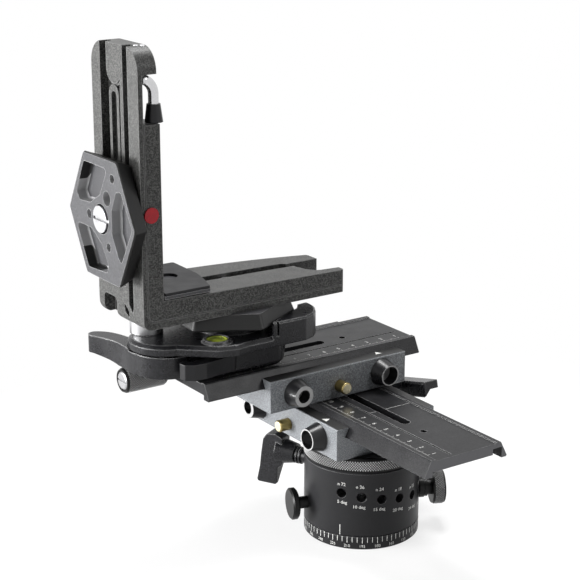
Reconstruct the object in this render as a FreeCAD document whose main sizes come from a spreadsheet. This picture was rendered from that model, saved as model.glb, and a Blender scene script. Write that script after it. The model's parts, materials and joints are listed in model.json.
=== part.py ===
"""Panoramic tripod head: a click-stop pan unit, two crossed sliding plates with fine
adjustment, a hexagonal quick-release clamp and an L-shaped camera bracket.

The origin is the centre of the base's bottom face on the pan axis, +Z up.  The upper plate
slides along X, the lower plate along Y.  All lengths are in millimetres.
"""
import FreeCAD, Part
import math
import os
import re
import Sketcher

V = FreeCAD.Vector
Turn = FreeCAD.Rotation
doc = FreeCAD.newDocument("panoramic_head")

# ---------------------------------------------------------------- driving dimensions
SIZES = {
    # pan unit, radii and heights above the base
    "pan_radius": 32.25,
    "ring_top": 7.4,
    "body_bottom": 7.7,
    "body_top": 45.35,
    "disc_top": 53.5,
    "disc_radius": 32.6,
    "cavity_radius": 24,
    "roof_bottom": 40.6,
    "screw_socket": 3.97,
    "screw_depth": 12.5,
    "bush_radius": 7,
    "bush_height": 14,
    "spindle_radius": 11,
    "neck_radius": 7.95,
    "bearing_bore": 8,
    "bearing_radius": 10,
    "spindle_top": 45,
    "nut_bottom": 43.5,
    "drum_radius": 21,
    "drum_bottom": 12,
    "drum_top": 38.6,
    "disc_screw": 4.7,
    "bore_gap": 0.03,
    # radial controls of the pan unit
    "click_hole": 2.75,
    "click_start": -146.8,
    "click_step": 20.05,
    "plunger_grip": 9.9,
    "plunger_out": 46.8,
    "brake_angle": 118,
    "brake_height": 35,
    "friction_angle": 163,
    "friction_height": 18.5,
    "friction_grip": 8.9,
    # sliding plate, measured down from its top face
    "plate_length": 142,
    "plate_half_top": 23.3,
    "plate_half_foot": 27.5,
    "plate_height": 9.1,
    "plate_web": 6.4,
    "plate_bevel": 0.6,
    "plate_edge": 0.5,
    "slide_gap": 0.15,
    "rim_width": 3.4,
    "rim_height": 0.6,
    "slot_half": 3,
    "slot_start": 48,
    "slot_end": 128,
    "pin_hole_start": 35,
    "pin_hole": 1.9,
    # block that carries a plate
    "block_half": 33.05,
    "block_height": 18.4,
    "block_length": 91.8,
    "block_floor": 12.5,
    "plate_rise": 21.75,
    "boss_spacing": 29.3,
    "boss_height": 9.2,
    "boss_root": 8,
    "boss_end": 5.9,
    "boss_length": 8,
    "boss_small_bore": 3.7,
    "boss_large_bore": 5.2,
    "boss_spigot": 5.4,
    "button_radius": 3.4,
    "button_height": 7.2,
    "button_travel": 3,
    "screw_offset": 20.8,
    "screw_height": 15.75,
    "screw_radius": 2.5,
    "collar_radius": 4.6,
    "collar_length": 12,
    "lock_height": 15.4,
    # places of the two slide units
    "lower_middle": 24.3,
    "lower_near_end": 112.9,
    "upper_middle_x": -8.2,
    "upper_middle_y": 43.5,
    "upper_near_end": 60.6,
    "lower_knob_radius": 4.6,
    "upper_knob_radius": 7.2,
    "knob_length": 25.2,
    # clamp, measured from the hexagon's centre on top of the upper plate
    "hex_x": -58,
    "mid_y": 46,
    "deck_bottom": 15.2,
    "deck_top": 20.7,
    "seat_top": 26.6,
    "jaw_top": 28.6,
    "hub_x": -37,
    "hub_y": 4,
    "hub_radius": 19.3,
    "hub_room": 0.5,
    "nose_radius": 20.7,
    "hub_bottom": 1.8,
    "hub_top": 13.7,
    "pivot_radius": 4,
    # hexagonal plates
    "hex_back_reach": 32.55,
    "hex_back_half": 30.1,
    "hex_thickness": 8.4,
    "hex_draft": 19.05,
    "hex_corner": 3,
    "pocket_depth": 5.8,
    "jaw_gap": 0.45,
    # L bracket, measured from the foot of its outer corner
    "arm_width": 48,
    "arm_height": 145.2,
    "arm_length": 127,
    "upright_thick": 12,
    "foot_thick": 12.7,
    "foot_thick_root": 14.6,
    "slot_shift": 0.8,
    "slot_wide": 6.6,
    "arm_round": 12,
    "lever_rod": 2.7,
    "lever_pin": 1.5,
    "arm_x": -124,
    "upright_plate_z": 188,
    "camera_plate_x": -94,
}

sheet = doc.addObject("Spreadsheet::Sheet", "sizes")
for row, (alias, value) in enumerate(SIZES.items(), start=1):
    sheet.set(f"A{row}", alias)
    sheet.set(f"B{row}", str(value))
    sheet.setAlias(f"B{row}", alias)
doc.recompute()

WORD = re.compile(r"[a-z]\w*")


def size(alias):
    """The number in the cell of that name."""
    return float(sheet.get(alias))


def linked(text):
    """An expression with each cell name written as the sheet's own reference."""
    return WORD.sub(lambda f: "sizes." + f.group() if f.group() in SIZES else f.group(), text)


def bind(item, prop, text):
    item.setExpression(prop, linked(text))


# ---------------------------------------------------------------- building helpers
ALONG = {
    "X": Turn(V(0, 1, 0), 90),
    "Y": Turn(V(1, 0, 0), -90),
    "Z": Turn(),
}
CELLS = {"X": ("x", "y", "z"), "Y": ("y", "x", "z"), "Z": ("z", "x", "y")}


def lay_along(item, axis, start, centre):
    """Turns a primitive's own axis to X, Y or Z and puts its foot at start."""
    item.Placement = FreeCAD.Placement(V(), ALONG[axis])
    first, second, third = CELLS[axis]
    bind(item, f"Placement.Base.{first}", start)
    bind(item, f"Placement.Base.{second}", centre[0])
    bind(item, f"Placement.Base.{third}", centre[1])
    return item


def box(name, x, y, z):
    """A block between a low and a high expression on each axis."""
    item = doc.addObject("Part::Box", name)
    for prop, cell, (low, high) in (("Length", "x", x), ("Width", "y", y), ("Height", "z", z)):
        bind(item, prop, f"({high}) - ({low})")
        bind(item, f"Placement.Base.{cell}", low)
    return item


def rod(name, radius, axis, low, high, centre=("0", "0")):
    item = doc.addObject("Part::Cylinder", name)
    bind(item, "Radius", radius)
    bind(item, "Height", f"({high}) - ({low})")
    return lay_along(item, axis, low, centre)


def cone(name, low_radius, high_radius, axis, low, high, centre=("0", "0")):
    item = doc.addObject("Part::Cone", name)
    bind(item, "Radius1", low_radius)
    bind(item, "Radius2", high_radius)
    bind(item, "Height", f"({high}) - ({low})")
    return lay_along(item, axis, low, centre)


def joined(name, *items):
    fuse = doc.addObject("Part::MultiFuse", name)
    fuse.Shapes = list(items)
    fuse.Refine = True
    return fuse


def less(name, base, *tools):
    """Base with every tool cut away."""
    cut = doc.addObject("Part::Cut", name)
    cut.Base = base
    cut.Tool = tools[0] if len(tools) == 1 else joined(name + "_tools", *tools)
    cut.Refine = True
    return cut


def origin_plane(body, role):
    return next(item for item in body.Origin.OriginFeatures if item.Role == role)


def sketch(body, name, role, corners):
    """A closed outline on one of the body's own planes; a corner is an (x, y) expression pair."""
    outline = body.newObject("Sketcher::SketchObject", name)
    outline.AttachmentSupport = [(origin_plane(body, role), "")]
    outline.MapMode = "FlatFace"
    points = [V(number(x), number(y), 0) for x, y in corners]
    for start, end in zip(points, points[1:] + points[:1]):
        outline.addGeometry(Part.LineSegment(start, end), False)
    for index in range(len(points)):
        following = (index + 1) % len(points)
        outline.addConstraint(Sketcher.Constraint("Coincident", index, 2, following, 1))
    for index, ((x, y), point) in enumerate(zip(corners, points)):
        pin_down(outline, index, "DistanceX", x, point.x, -2)
        pin_down(outline, index, "DistanceY", y, point.y, -1)
    return outline


def pin_down(outline, index, kind, text, guess, axis):
    """Ties a corner to an expression, or to the axis itself where the expression is zero."""
    if text == "0":
        outline.addConstraint(Sketcher.Constraint("PointOnObject", index, 1, axis))
        return
    tie = outline.addConstraint(Sketcher.Constraint(kind, -1, 1, index, 1, guess))
    outline.setExpression(f"Constraints[{tie}]", linked(text))


def number(text):
    """The value of a length expression, worked out by the document itself."""
    return float(sheet.evalExpression(linked(text)))


def pad(body, outline, depth):
    slab = body.newObject("PartDesign::Pad", outline.Name + "_pad")
    slab.Profile = outline
    bind(slab, "Length", depth)
    return slab


def turned(name, *corners):
    """A body turned about Z from its half section, given as (radius, height) pairs."""
    body = doc.addObject("PartDesign::Body", name)
    outline = sketch(body, name + "_section", "XZ_Plane", corners)
    revolve = body.newObject("PartDesign::Revolution", name + "_turning")
    revolve.Profile = outline
    revolve.ReferenceAxis = (outline, ["V_Axis"])
    revolve.Angle = 360
    return body


def edges_where(shape, test):
    return [f"Edge{i}" for i, edge in enumerate(shape.Edges, start=1) if test(edge)]


def ease(body, feature, kind, amount, test):
    """Rounds (Fillet) or bevels (Chamfer) the edges of the last feature that pass the test."""
    doc.recompute()
    dress = body.newObject("PartDesign::" + kind, f"{feature.Name}_{kind.lower()}")
    dress.Base = (feature, edges_where(feature.Shape, test))
    bind(dress, "Radius" if kind == "Fillet" else "Size", amount)
    return dress


def upright(edge):
    """True for an edge parallel to the body's own Z axis."""
    reach = edge.BoundBox
    return reach.ZLength > 0.5 and reach.XLength < 0.01 and reach.YLength < 0.01


SUB_PARTS = []


def sub_part(item, label, frame=None):
    """Names a finished piece and puts it in its frame: a rotation and three expressions."""
    item.Label = label
    if frame:
        rotation, base = frame
        item.Placement = FreeCAD.Placement(V(), rotation)
        for cell, text in zip("xyz", base):
            bind(item, f"Placement.Base.{cell}", text)
    SUB_PARTS.append(item)
    return item


def made(shape, label, frame=None):
    """A sub-part whose shape is made with Part's own functions."""
    item = doc.addObject("Part::Feature", label)
    item.Shape = shape
    return sub_part(item, label, frame)


def coil(radius, wire, length, turns):
    """A helical spring along Z from height zero."""
    helix = Part.makeHelix(length / turns, length, radius)
    ring = Part.Wire([Part.makeCircle(wire, V(radius, 0, 0), V(0, 1, 0))])
    return Part.Wire(helix).makePipeShell([ring], True, True)


# ---------------------------------------------------------------- pan unit: the fixed base
sub_part(turned(
    "base_ring", ("bush_radius", "0"), ("pan_radius - 0.5", "0"), ("pan_radius", "0.5"),
    ("pan_radius", "ring_top - 0.35"), ("pan_radius - 0.35", "ring_top"), ("bush_radius", "ring_top"),
), "base_ring")

sub_part(turned(
    "tripod_bush", ("screw_socket", "0"), ("bush_radius", "0"), ("bush_radius", "bush_height"),
    ("0", "bush_height"), ("0", "screw_depth"), ("screw_socket", "screw_depth"),
), "tripod_bush")

sub_part(turned(
    "spindle", ("bush_radius", "ring_top"), ("spindle_radius", "ring_top"),
    ("spindle_radius", "drum_top"), ("neck_radius", "drum_top"), ("neck_radius", "spindle_top"),
    ("0", "spindle_top"), ("0", "bush_height"), ("bush_radius", "bush_height"),
), "spindle")

sub_part(turned(
    "thrust_washer", ("bearing_bore", "drum_top"), ("19", "drum_top"), ("19", "roof_bottom - 0.3"),
    ("bearing_bore", "roof_bottom - 0.3"),
), "thrust_washer")

nut_body = turned(
    "nut_blank", ("neck_radius", "nut_bottom"), ("bearing_radius - 0.6", "nut_bottom"),
    ("bearing_radius - 0.6", "spindle_top"), ("neck_radius", "spindle_top"),
)
sub_part(nut_body, "retaining_nut")

# Click stops: one row of small dimples round the drum for each number of shots in a turn.
SHOTS = (72, 36, 24, 18, 15, 12, 10, 8, 6, 4)
ROW_HEIGHTS = (32.7, 31.0, 29.3, 27.8, 26.1, 23.8, 21.2, 19.7, 18.2, 16.7)
DIMPLE_RADIUS = 0.45
DIMPLE_DEPTH = 1.0


def detent_drum():
    drum = Part.makeCylinder(size("drum_radius"), size("drum_top") - size("drum_bottom"),
                             V(0, 0, size("drum_bottom")))
    bore = Part.makeCylinder(size("spindle_radius") + size("bore_gap"), size("drum_top"))
    dimples = []
    for row_index, (count, height) in enumerate(zip(SHOTS, ROW_HEIGHTS)):
        first = size("click_start") + row_index * size("click_step")
        for step in range(count):
            angle = math.radians(first + 360.0 * step / count)
            outward = V(math.cos(angle), math.sin(angle), 0)
            foot = outward * (size("drum_radius") - DIMPLE_DEPTH) + V(0, 0, height)
            dimples.append(Part.makeCylinder(DIMPLE_RADIUS, 2 * DIMPLE_DEPTH, foot, outward))
    return drum.cut(bore).cut(Part.makeCompound(dimples))


made(detent_drum(), "detent_drum")

# ---------------------------------------------------------------- pan unit: the turning body
PLUNGER_ROW = 6


def click_angle(index):
    return size("click_start") + index * size("click_step")


def radial_frame(angle, height):
    """X points outward from the pan axis at that angle."""
    return Turn(V(0, 0, 1), angle), ("0", "0", height)


def radial_hole(name, radius, angle, height):
    """A bore from the cavity out through the wall."""
    hole = rod(name, radius, "X", "cavity_radius - 4", "pan_radius + 2")
    rotation = Turn(V(0, 0, 1), angle).multiply(ALONG["X"])
    reach = size("cavity_radius") - 4
    hole.setExpression("Placement.Base.x", None)
    hole.setExpression("Placement.Base.y", None)
    turn = math.radians(angle)
    hole.Placement = FreeCAD.Placement(V(reach * math.cos(turn), reach * math.sin(turn), 0), rotation)
    bind(hole, "Placement.Base.z", height)
    return hole


shell = turned(
    "pan_shell", ("cavity_radius", "body_bottom"), ("pan_radius - 0.35", "body_bottom"),
    ("pan_radius", "body_bottom + 0.35"), ("pan_radius", "body_top - 1"), ("pan_radius - 1", "body_top"),
    ("bearing_radius", "body_top"), ("bearing_radius", "roof_bottom"), ("cavity_radius", "roof_bottom"),
)
holes = [radial_hole(f"click_hole_{i}", "click_hole", click_angle(i), str(ROW_HEIGHTS[i]))
         for i in range(len(SHOTS))]
holes.append(radial_hole("brake_hole", "4.05", size("brake_angle"), "brake_height"))
holes.append(radial_hole("friction_hole", "3.45", size("friction_angle"), "friction_height"))
sub_part(less("pan_body_cut", shell, *holes), "pan_body")

sub_part(turned(
    "bearing_bush", ("bearing_bore", "roof_bottom"), ("bearing_radius", "roof_bottom"),
    ("bearing_radius", "nut_bottom - 0.3"), ("bearing_bore", "nut_bottom - 0.3"),
), "bearing_bush")

sub_part(turned(
    "knurled_disc", ("disc_screw + bore_gap", "body_top + 4"), ("8.2", "body_top + 4"),
    ("8.2", "body_top"), ("disc_radius - 0.7", "body_top"), ("disc_radius", "body_top + 0.7"),
    ("disc_radius", "disc_top - 1.4"), ("disc_radius - 1", "disc_top - 0.4"),
    ("disc_radius - 2", "disc_top"), ("disc_screw + bore_gap", "disc_top"),
), "knurled_disc")

sub_part(turned(
    "disc_screw", ("0", "body_top + 0.3"), ("8", "body_top + 0.3"), ("8", "body_top + 4"),
    ("disc_screw", "body_top + 4"), ("disc_screw", "disc_top + 8.5"), ("0", "disc_top + 8.5"),
), "disc_screw")

# ---------------------------------------------------------------- pan unit: its controls
plunger_frame = radial_frame(click_angle(PLUNGER_ROW), str(ROW_HEIGHTS[PLUNGER_ROW]))

sleeve = joined(
    "sleeve_blank",
    rod("sleeve_stem", "click_hole - bore_gap", "X", "cavity_radius + 0.5", "pan_radius + 0.4"),
    rod("sleeve_collar", "5.8", "X", "pan_radius + 0.4", "35.2"),
)
sub_part(less(
    "sleeve_cut", sleeve,
    rod("sleeve_bore", "1.3", "X", "20", "40"),
    rod("sleeve_spring_room", "2.3", "X", "27", "34.6"),
), "plunger_sleeve", plunger_frame)

sub_part(joined(
    "plunger_blank",
    rod("plunger_rod", "1.25", "X", "21.9", "43.5"),
    cone("plunger_tip", "0.5", "1.25", "X", "21.3", "21.9"),
    rod("plunger_flange", "2.2", "X", "27.3", "27.9"),
), "index_plunger", plunger_frame)

sub_part(less(
    "grip_cut",
    joined(
        "grip_blank",
        rod("grip_washer", "5.3", "X", "35.6", "37.2"),
        rod("grip_neck", "4.5", "X", "37.2", "39.6"),
        cone("grip_inner_bevel", "plunger_grip - 0.8", "plunger_grip", "X", "39.6", "40.4"),
        rod("grip_wheel", "plunger_grip", "X", "40.4", "plunger_out - 0.8"),
        cone("grip_outer_bevel", "plunger_grip", "plunger_grip - 0.8", "X", "plunger_out - 0.8",
             "plunger_out"),
    ),
    rod("grip_bore", "1.25 + bore_gap", "X", "35", "43.5"),
), "plunger_knob", plunger_frame)

spring_room = V(28.3, 0, 0)
plunger_coil = coil(1.8, 0.25, 1.9, 3)
plunger_coil.Placement = FreeCAD.Placement(spring_room, ALONG["X"])
plunger_coil.Placement = FreeCAD.Placement(
    V(0, 0, ROW_HEIGHTS[PLUNGER_ROW]), plunger_frame[0]).multiply(plunger_coil.Placement)
made(plunger_coil, "plunger_spring")

friction_frame = radial_frame(size("friction_angle"), "friction_height")
sub_part(joined(
    "friction_blank",
    rod("friction_stem", "3.4", "X", "cavity_radius + 0.9", "38.6"),
    cone("friction_inner", "friction_grip - 0.9", "friction_grip", "X", "38.4", "39.2"),
    rod("friction_wheel", "friction_grip", "X", "39.2", "41.6"),
    cone("friction_outer", "friction_grip", "friction_grip - 0.9", "X", "41.6", "42.4"),
), "friction_knob", friction_frame)

sub_part(joined(
    "shoe_blank",
    rod("shoe_face", "2.9", "X", "drum_radius + 0.3", "drum_radius + 1.4"),
    rod("shoe_back", "2.4", "X", "drum_radius + 1.4", "cavity_radius + 0.6"),
), "friction_shoe", friction_frame)

brake_frame = radial_frame(size("brake_angle"), "brake_height")
arm = doc.addObject("PartDesign::Body", "brake_arm")
# Side view of the arm, radial distance against height: flared outward at its lower end.
arm_outline = sketch(arm, "brake_arm_side", "XZ_Plane", (
    ("48", "-6.2"), ("51", "-8.4"), ("51.5", "-19"), ("64.5", "-19"), ("62.4", "-9.2"),
    ("61.5", "-0.7"), ("60.2", "8"), ("58", "11.2"), ("52.7", "11.8"), ("48", "9.8"),
))
arm_slab = pad(arm, arm_outline, "9.4")
arm_slab.SideType = "Symmetric"
ease(arm, arm_slab, "Fillet", "1.5", lambda e: e.BoundBox.YLength > 9 and e.BoundBox.ZLength < 0.01)
arm_back = doc.addObject("PartDesign::Body", "brake_arm_back")
# The arm thins towards its tip, from the side that faces away from the scale's zero.
back_outline = sketch(arm_back, "brake_arm_wedge", "YZ_Plane", (
    ("-6", "-4.6"), ("-4.7", "-6.2"), ("3.2", "-18.6"), ("3.2", "-20"), ("-6", "-20"),
))
pad(arm_back, back_outline, "140").SideType = "Symmetric"
sub_part(joined(
    "brake_blank",
    rod("brake_stud", "4", "X", "cavity_radius + 0.4", "41.5"),
    rod("brake_ring_inner", "4.9", "X", "36.9", "38.1"),
    rod("brake_ring_outer", "5", "X", "38.8", "40"),
    cone("brake_hub", "5.6", "7.9", "X", "40.8", "52", ("0", "0.8")),
    less("brake_arm_thinned", arm, arm_back),
), "pan_lock_lever", brake_frame)


# ---------------------------------------------------------------- slide units
# Each unit is drawn in its own frame: X across the plate, Y up, Z along the slide towards
# the end where the scale starts, with the origin under the middle of the block.
def slide_section():
    """Half the channel's width at its lip and at its floor: the plate's sloping side, with a gap."""
    slope = "(plate_half_foot - plate_half_top) / (plate_height - plate_bevel - plate_edge)"
    above = "plate_rise - plate_edge - block_height"
    below = "plate_rise - plate_height + plate_bevel - block_floor"
    lip = f"plate_half_top + {slope} * ({above}) + slide_gap"
    foot = f"plate_half_foot + {slope} * ({below}) + slide_gap"
    return lip, foot


def block(prefix, fixing):
    """The aluminium block with its dovetail channel, bores and grooves."""
    lip, foot = slide_section()
    body = doc.addObject("PartDesign::Body", prefix + "_block_body")
    outline = sketch(body, prefix + "_block_section", "XY_Plane", (
        ("-block_half", "0.5"), ("-block_half + 0.5", "0"), ("block_half - 0.5", "0"),
        ("block_half", "0.5"), ("block_half", "block_height - 0.5"), ("block_half - 0.5", "block_height"),
        (lip + " + 2.5", "block_height"), (foot + " + 2.5", "block_floor"),
        ("-(" + foot + ")", "block_floor"), ("-(" + lip + ")", "block_height"),
        ("-block_half + 0.5", "block_height"), ("-block_half", "block_height - 0.5"),
    ))
    slab = pad(body, outline, "block_length")
    slab.SideType = "Symmetric"
    nut_room = ("button_height + 1.9", "block_floor + 1")
    tools = [
        rod(prefix + "_button_bore", "button_radius + 0.05", "X", "-block_half - 1", "-22.5",
            ("button_height", "0")),
        rod(prefix + "_rod_bore", "2.06", "X", "-24", "30", ("button_height", "0")),
        box(prefix + "_nut_room", ("screw_offset - 3", "screw_offset + 3"), nut_room, ("-6.3", "6.3")),
        box(prefix + "_nut_foot_room", ("screw_offset - 0.2", "screw_offset + 3"),
            ("button_height - 1.1", "button_height + 4"), ("-2.1", "2.1")),
        box(prefix + "_collar_groove", ("screw_offset - 5.9", "screw_offset + 5.9"),
            ("screw_height - 5.9", "block_floor + 1"), ("-block_length / 2 - 1", "block_length / 2 + 1")),
        rod(prefix + "_lock_bore", "2.45", "X", "26", "block_half + 1", ("lock_height", "0")),
    ]
    for place in ("-boss_spacing", "boss_spacing"):
        side = "far" if place.startswith("-") else "near"
        tools.append(rod(f"{prefix}_boss_seat_{side}", "boss_spigot", "X", "-block_half - 1", "-29",
                         ("boss_height", place)))
    for index, (across, along, radius, depth) in enumerate(fixing):
        tools.append(rod(f"{prefix}_fixing_{index}", radius, "Y", "-1", depth, (across, along)))
    return less(prefix + "_block_cut", body, *tools)


def bosses(prefix):
    """The two tapered caps on the button side, each a cup with its own bore."""
    caps = []
    for place, bore in (("-boss_spacing", "boss_small_bore"), ("boss_spacing", "boss_large_bore")):
        name = f"{prefix}_cap_{'far' if place.startswith('-') else 'near'}"
        centre = ("boss_height", place)
        blank = joined(
            name,
            cone(name + "_taper", "boss_end", "boss_root", "X", "-block_half - boss_length",
                 "-block_half", centre),
            rod(name + "_spigot", "boss_spigot", "X", "-block_half", "-29", centre),
        )
        bore_tool = rod(name + "_bore", bore, "X", "-block_half - boss_length - 1",
                        "-block_half - 0.6", centre)
        caps.append(less(name + "_cut", blank, bore_tool))
    pair = doc.addObject("Part::Compound", prefix + "_caps")
    pair.Links = caps
    return pair


def gib(prefix):
    """The brass strip that the lock lever presses against the plate's sloping side."""
    lip, foot = slide_section()
    body = doc.addObject("PartDesign::Body", prefix + "_gib_body")
    outline = sketch(body, prefix + "_gib_section", "XY_Plane", (
        (foot + " + 0.02", "block_floor + 0.05"), (foot + " + 2.3", "block_floor + 0.05"),
        (lip + " + 2.3", "block_height - 0.1"), (lip + " + 0.02", "block_height - 0.1"),
    ))
    strip = pad(body, outline, "block_length - 6")
    strip.SideType = "Symmetric"
    return body


LOCK_ARMS = {
    "lower": (("1.5", "-5"), ("1.5", "24.4"), ("-8", "24.4"),
              ("-8.2", "12.5"), ("-6.8", "3"), ("-4.6", "-5")),
    "upper": (("4.6", "-5"), ("6.2", "0"), ("5.4", "14"), ("4.9", "33"), ("3.2", "37"),
              ("-3.2", "37"), ("-4.9", "33"), ("-5.4", "14"), ("-6.2", "0"), ("-4.6", "-5")),
}
LOCK_SLABS = {"lower": "11", "upper": "7.5"}
LOCK_HUBS = {"lower": "3.6", "upper": "6.6"}


def hang(body, lean):
    """Turns a flat arm to the block's side, at its angle along the slide, outside the stud's hub."""
    flat_to_side = Turn(V(0, 1, 0), 90).multiply(Turn(V(0, 0, 1), -90))
    body.Placement = FreeCAD.Placement(V(), Turn(V(1, 0, 0), 180 - lean).multiply(flat_to_side))
    bind(body, "Placement.Base.x", "block_half + 10.6")
    bind(body, "Placement.Base.y", "lock_height")
    return body


def web_relief(prefix, lean):
    """What leaves the arm a thick bar above and a sloping web below it."""
    body = doc.addObject("PartDesign::Body", prefix + "_lock_relief")
    outline = sketch(body, prefix + "_lock_relief_end", "XZ_Plane", (
        ("-12.4", "-4.8"), ("-3.2", "4.4"), ("-3.2", "12"), ("-12.4", "12")))
    pad(body, outline, "80").SideType = "Symmetric"
    return hang(body, lean)


def lock_lever(prefix, lean):
    """A moulded L lever with its stud; lean is the arm's angle along the block's side."""
    arm_body = doc.addObject("PartDesign::Body", prefix + "_lock_arm")
    outline = sketch(arm_body, prefix + "_lock_arm_face", "XY_Plane", LOCK_ARMS[prefix])
    slab = pad(arm_body, outline, LOCK_SLABS[prefix])
    ease(arm_body, slab, "Chamfer", "1.1", lambda e: e.BoundBox.ZLength < 0.01)
    hang(arm_body, lean)
    if prefix == "lower":
        arm_body = less(prefix + "_lock_arm_cut", arm_body, web_relief(prefix, lean))
    return joined(
        prefix + "_lock_blank",
        rod(prefix + "_lock_stud", "2.4", "X", "30.1", "block_half + 3", ("lock_height", "0")),
        rod(prefix + "_lock_tip", "1.1", "X", "29.6", "30.1", ("lock_height", "0")),
        rod(prefix + "_lock_washer", "5.2", "X", "block_half + 0.3", "block_half + 2.2",
            ("lock_height", "0")),
        cone(prefix + "_lock_hub", "4.8", LOCK_HUBS[prefix], "X", "block_half + 2.2",
             "block_half + 11.5", ("lock_height", "0")),
        arm_body,
    )


def release_button(prefix):
    """Brass push button with its rod; a sloped notch in the rod lets the half nut drop."""
    blank = joined(
        prefix + "_button_blank",
        cone(prefix + "_button_crown", "button_radius - 0.6", "button_radius", "X",
             "-block_half - 7.2", "-block_half - 6.6", ("button_height", "0")),
        rod(prefix + "_button_cap", "button_radius", "X", "-block_half - 6.6", "-29.9",
            ("button_height", "0")),
        rod(prefix + "_button_rod", "2", "X", "-29.9", "screw_offset + 5.5", ("button_height", "0")),
    )
    notch_body = doc.addObject("PartDesign::Body", prefix + "_notch")
    outline = sketch(notch_body, prefix + "_notch_side", "XY_Plane", (
        ("screw_offset - 7.6", "button_height - 1.2"), ("screw_offset - 3.2", "button_height - 1.2"),
        ("screw_offset + 0.05", "button_height + 2.05"), ("screw_offset + 0.05", "button_height + 4"),
        ("screw_offset - 7.6", "button_height + 4"),
    ))
    cutter = pad(notch_body, outline, "8")
    cutter.SideType = "Symmetric"
    return less(prefix + "_button_cut", blank, notch_body)


def half_nut(prefix):
    """Brass nut that meets the lead screw from below, on a sloped foot."""
    body = doc.addObject("PartDesign::Body", prefix + "_half_nut_body")
    outline = sketch(body, prefix + "_half_nut_side", "XY_Plane", (
        ("screw_offset - 2.7", "button_height + 5.1"), ("screw_offset + 0.1", "button_height + 5.1"),
        ("screw_offset + 0.1", "button_height + 2.2"), ("screw_offset + 2.7", "button_height + 4.8"),
        ("screw_offset + 2.7", "screw_height - 1.2"), ("screw_offset - 2.7", "screw_height - 1.2"),
    ))
    slab = pad(body, outline, "12")
    slab.SideType = "Symmetric"
    return less(
        prefix + "_half_nut_cut", body,
        rod(prefix + "_half_nut_thread", "screw_radius + 0.06", "Z", "-8", "8",
            ("screw_offset", "screw_height")),
        box(prefix + "_half_nut_side_a", ("screw_offset - 5", "screw_offset + 5"),
            ("button_height + 1", "button_height + 5.1"), ("1.8", "8")),
        box(prefix + "_half_nut_side_b", ("screw_offset - 5", "screw_offset + 5"),
            ("button_height + 1", "button_height + 5.1"), ("-8", "-1.8")),
    )


def plate(prefix, near_end):
    """The dovetail sliding plate with its rims, slot, groove and channel for the lead screw."""
    top = "plate_rise"
    bottom = "plate_rise - plate_height"
    web = "plate_rise - plate_web"
    floor = "plate_rise - rim_height"
    far_end = f"{near_end} - plate_length"
    rim = "plate_half_top - rim_width"
    body = doc.addObject("PartDesign::Body", prefix + "_plate_body")
    outline = sketch(body, prefix + "_plate_section", "XY_Plane", (
        ("-plate_half_foot", bottom + " + plate_bevel"), ("-plate_half_foot + plate_bevel", bottom),
        ("-plate_half_foot + 5.2", bottom), ("-plate_half_foot + 5.2", web),
        ("screw_offset - 3", web), ("screw_offset - 3", "screw_height + 2.9"),
        ("screw_offset + 3", "screw_height + 2.9"), ("screw_offset + 3", bottom),
        ("plate_half_foot - plate_bevel", bottom), ("plate_half_foot", bottom + " + plate_bevel"),
        ("plate_half_top", top + " - plate_edge"), ("plate_half_top - plate_edge", top),
        (rim + " + 0.3", top), (rim, floor), ("-(" + rim + ")", floor), ("-(" + rim + ") - 0.3", top),
        ("-plate_half_top + plate_edge", top), ("-plate_half_top", top + " - plate_edge"),
    ))
    pad(body, outline, "plate_length")
    bind(body, "Placement.Base.z", far_end)
    slot_near = f"{near_end} - slot_start - slot_half"
    slot_far = f"{near_end} - slot_end + slot_half"
    tools = [
        box(prefix + "_slot", ("-slot_half", "slot_half"), (bottom, top + " + 1"), (slot_far, slot_near)),
        rod(prefix + "_slot_near", "slot_half", "Y", bottom, top + " + 1", ("0", slot_near)),
        rod(prefix + "_slot_far", "slot_half", "Y", bottom, top + " + 1", ("0", slot_far)),
        rod(prefix + "_pin_hole", "pin_hole", "Y", bottom, top + " + 1",
            ("0", f"{near_end} - pin_hole_start")),
        box(prefix + "_groove", ("-9.1", "-7.9"), (floor + " - 0.7", top),
            (far_end + " + 3", near_end + " - 3")),
        box(prefix + "_collar_room", ("screw_offset - collar_radius - 0.05", "plate_half_foot + 1"),
            (bottom + " - 1", "screw_height"), (far_end + " - 1", far_end + " + collar_length")),
        rod(prefix + "_collar_seat", "collar_radius", "Z", far_end + " - 1", far_end + " + collar_length",
            ("screw_offset", "screw_height")),
    ]
    return less(prefix + "_plate_cut", body, *tools)


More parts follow.
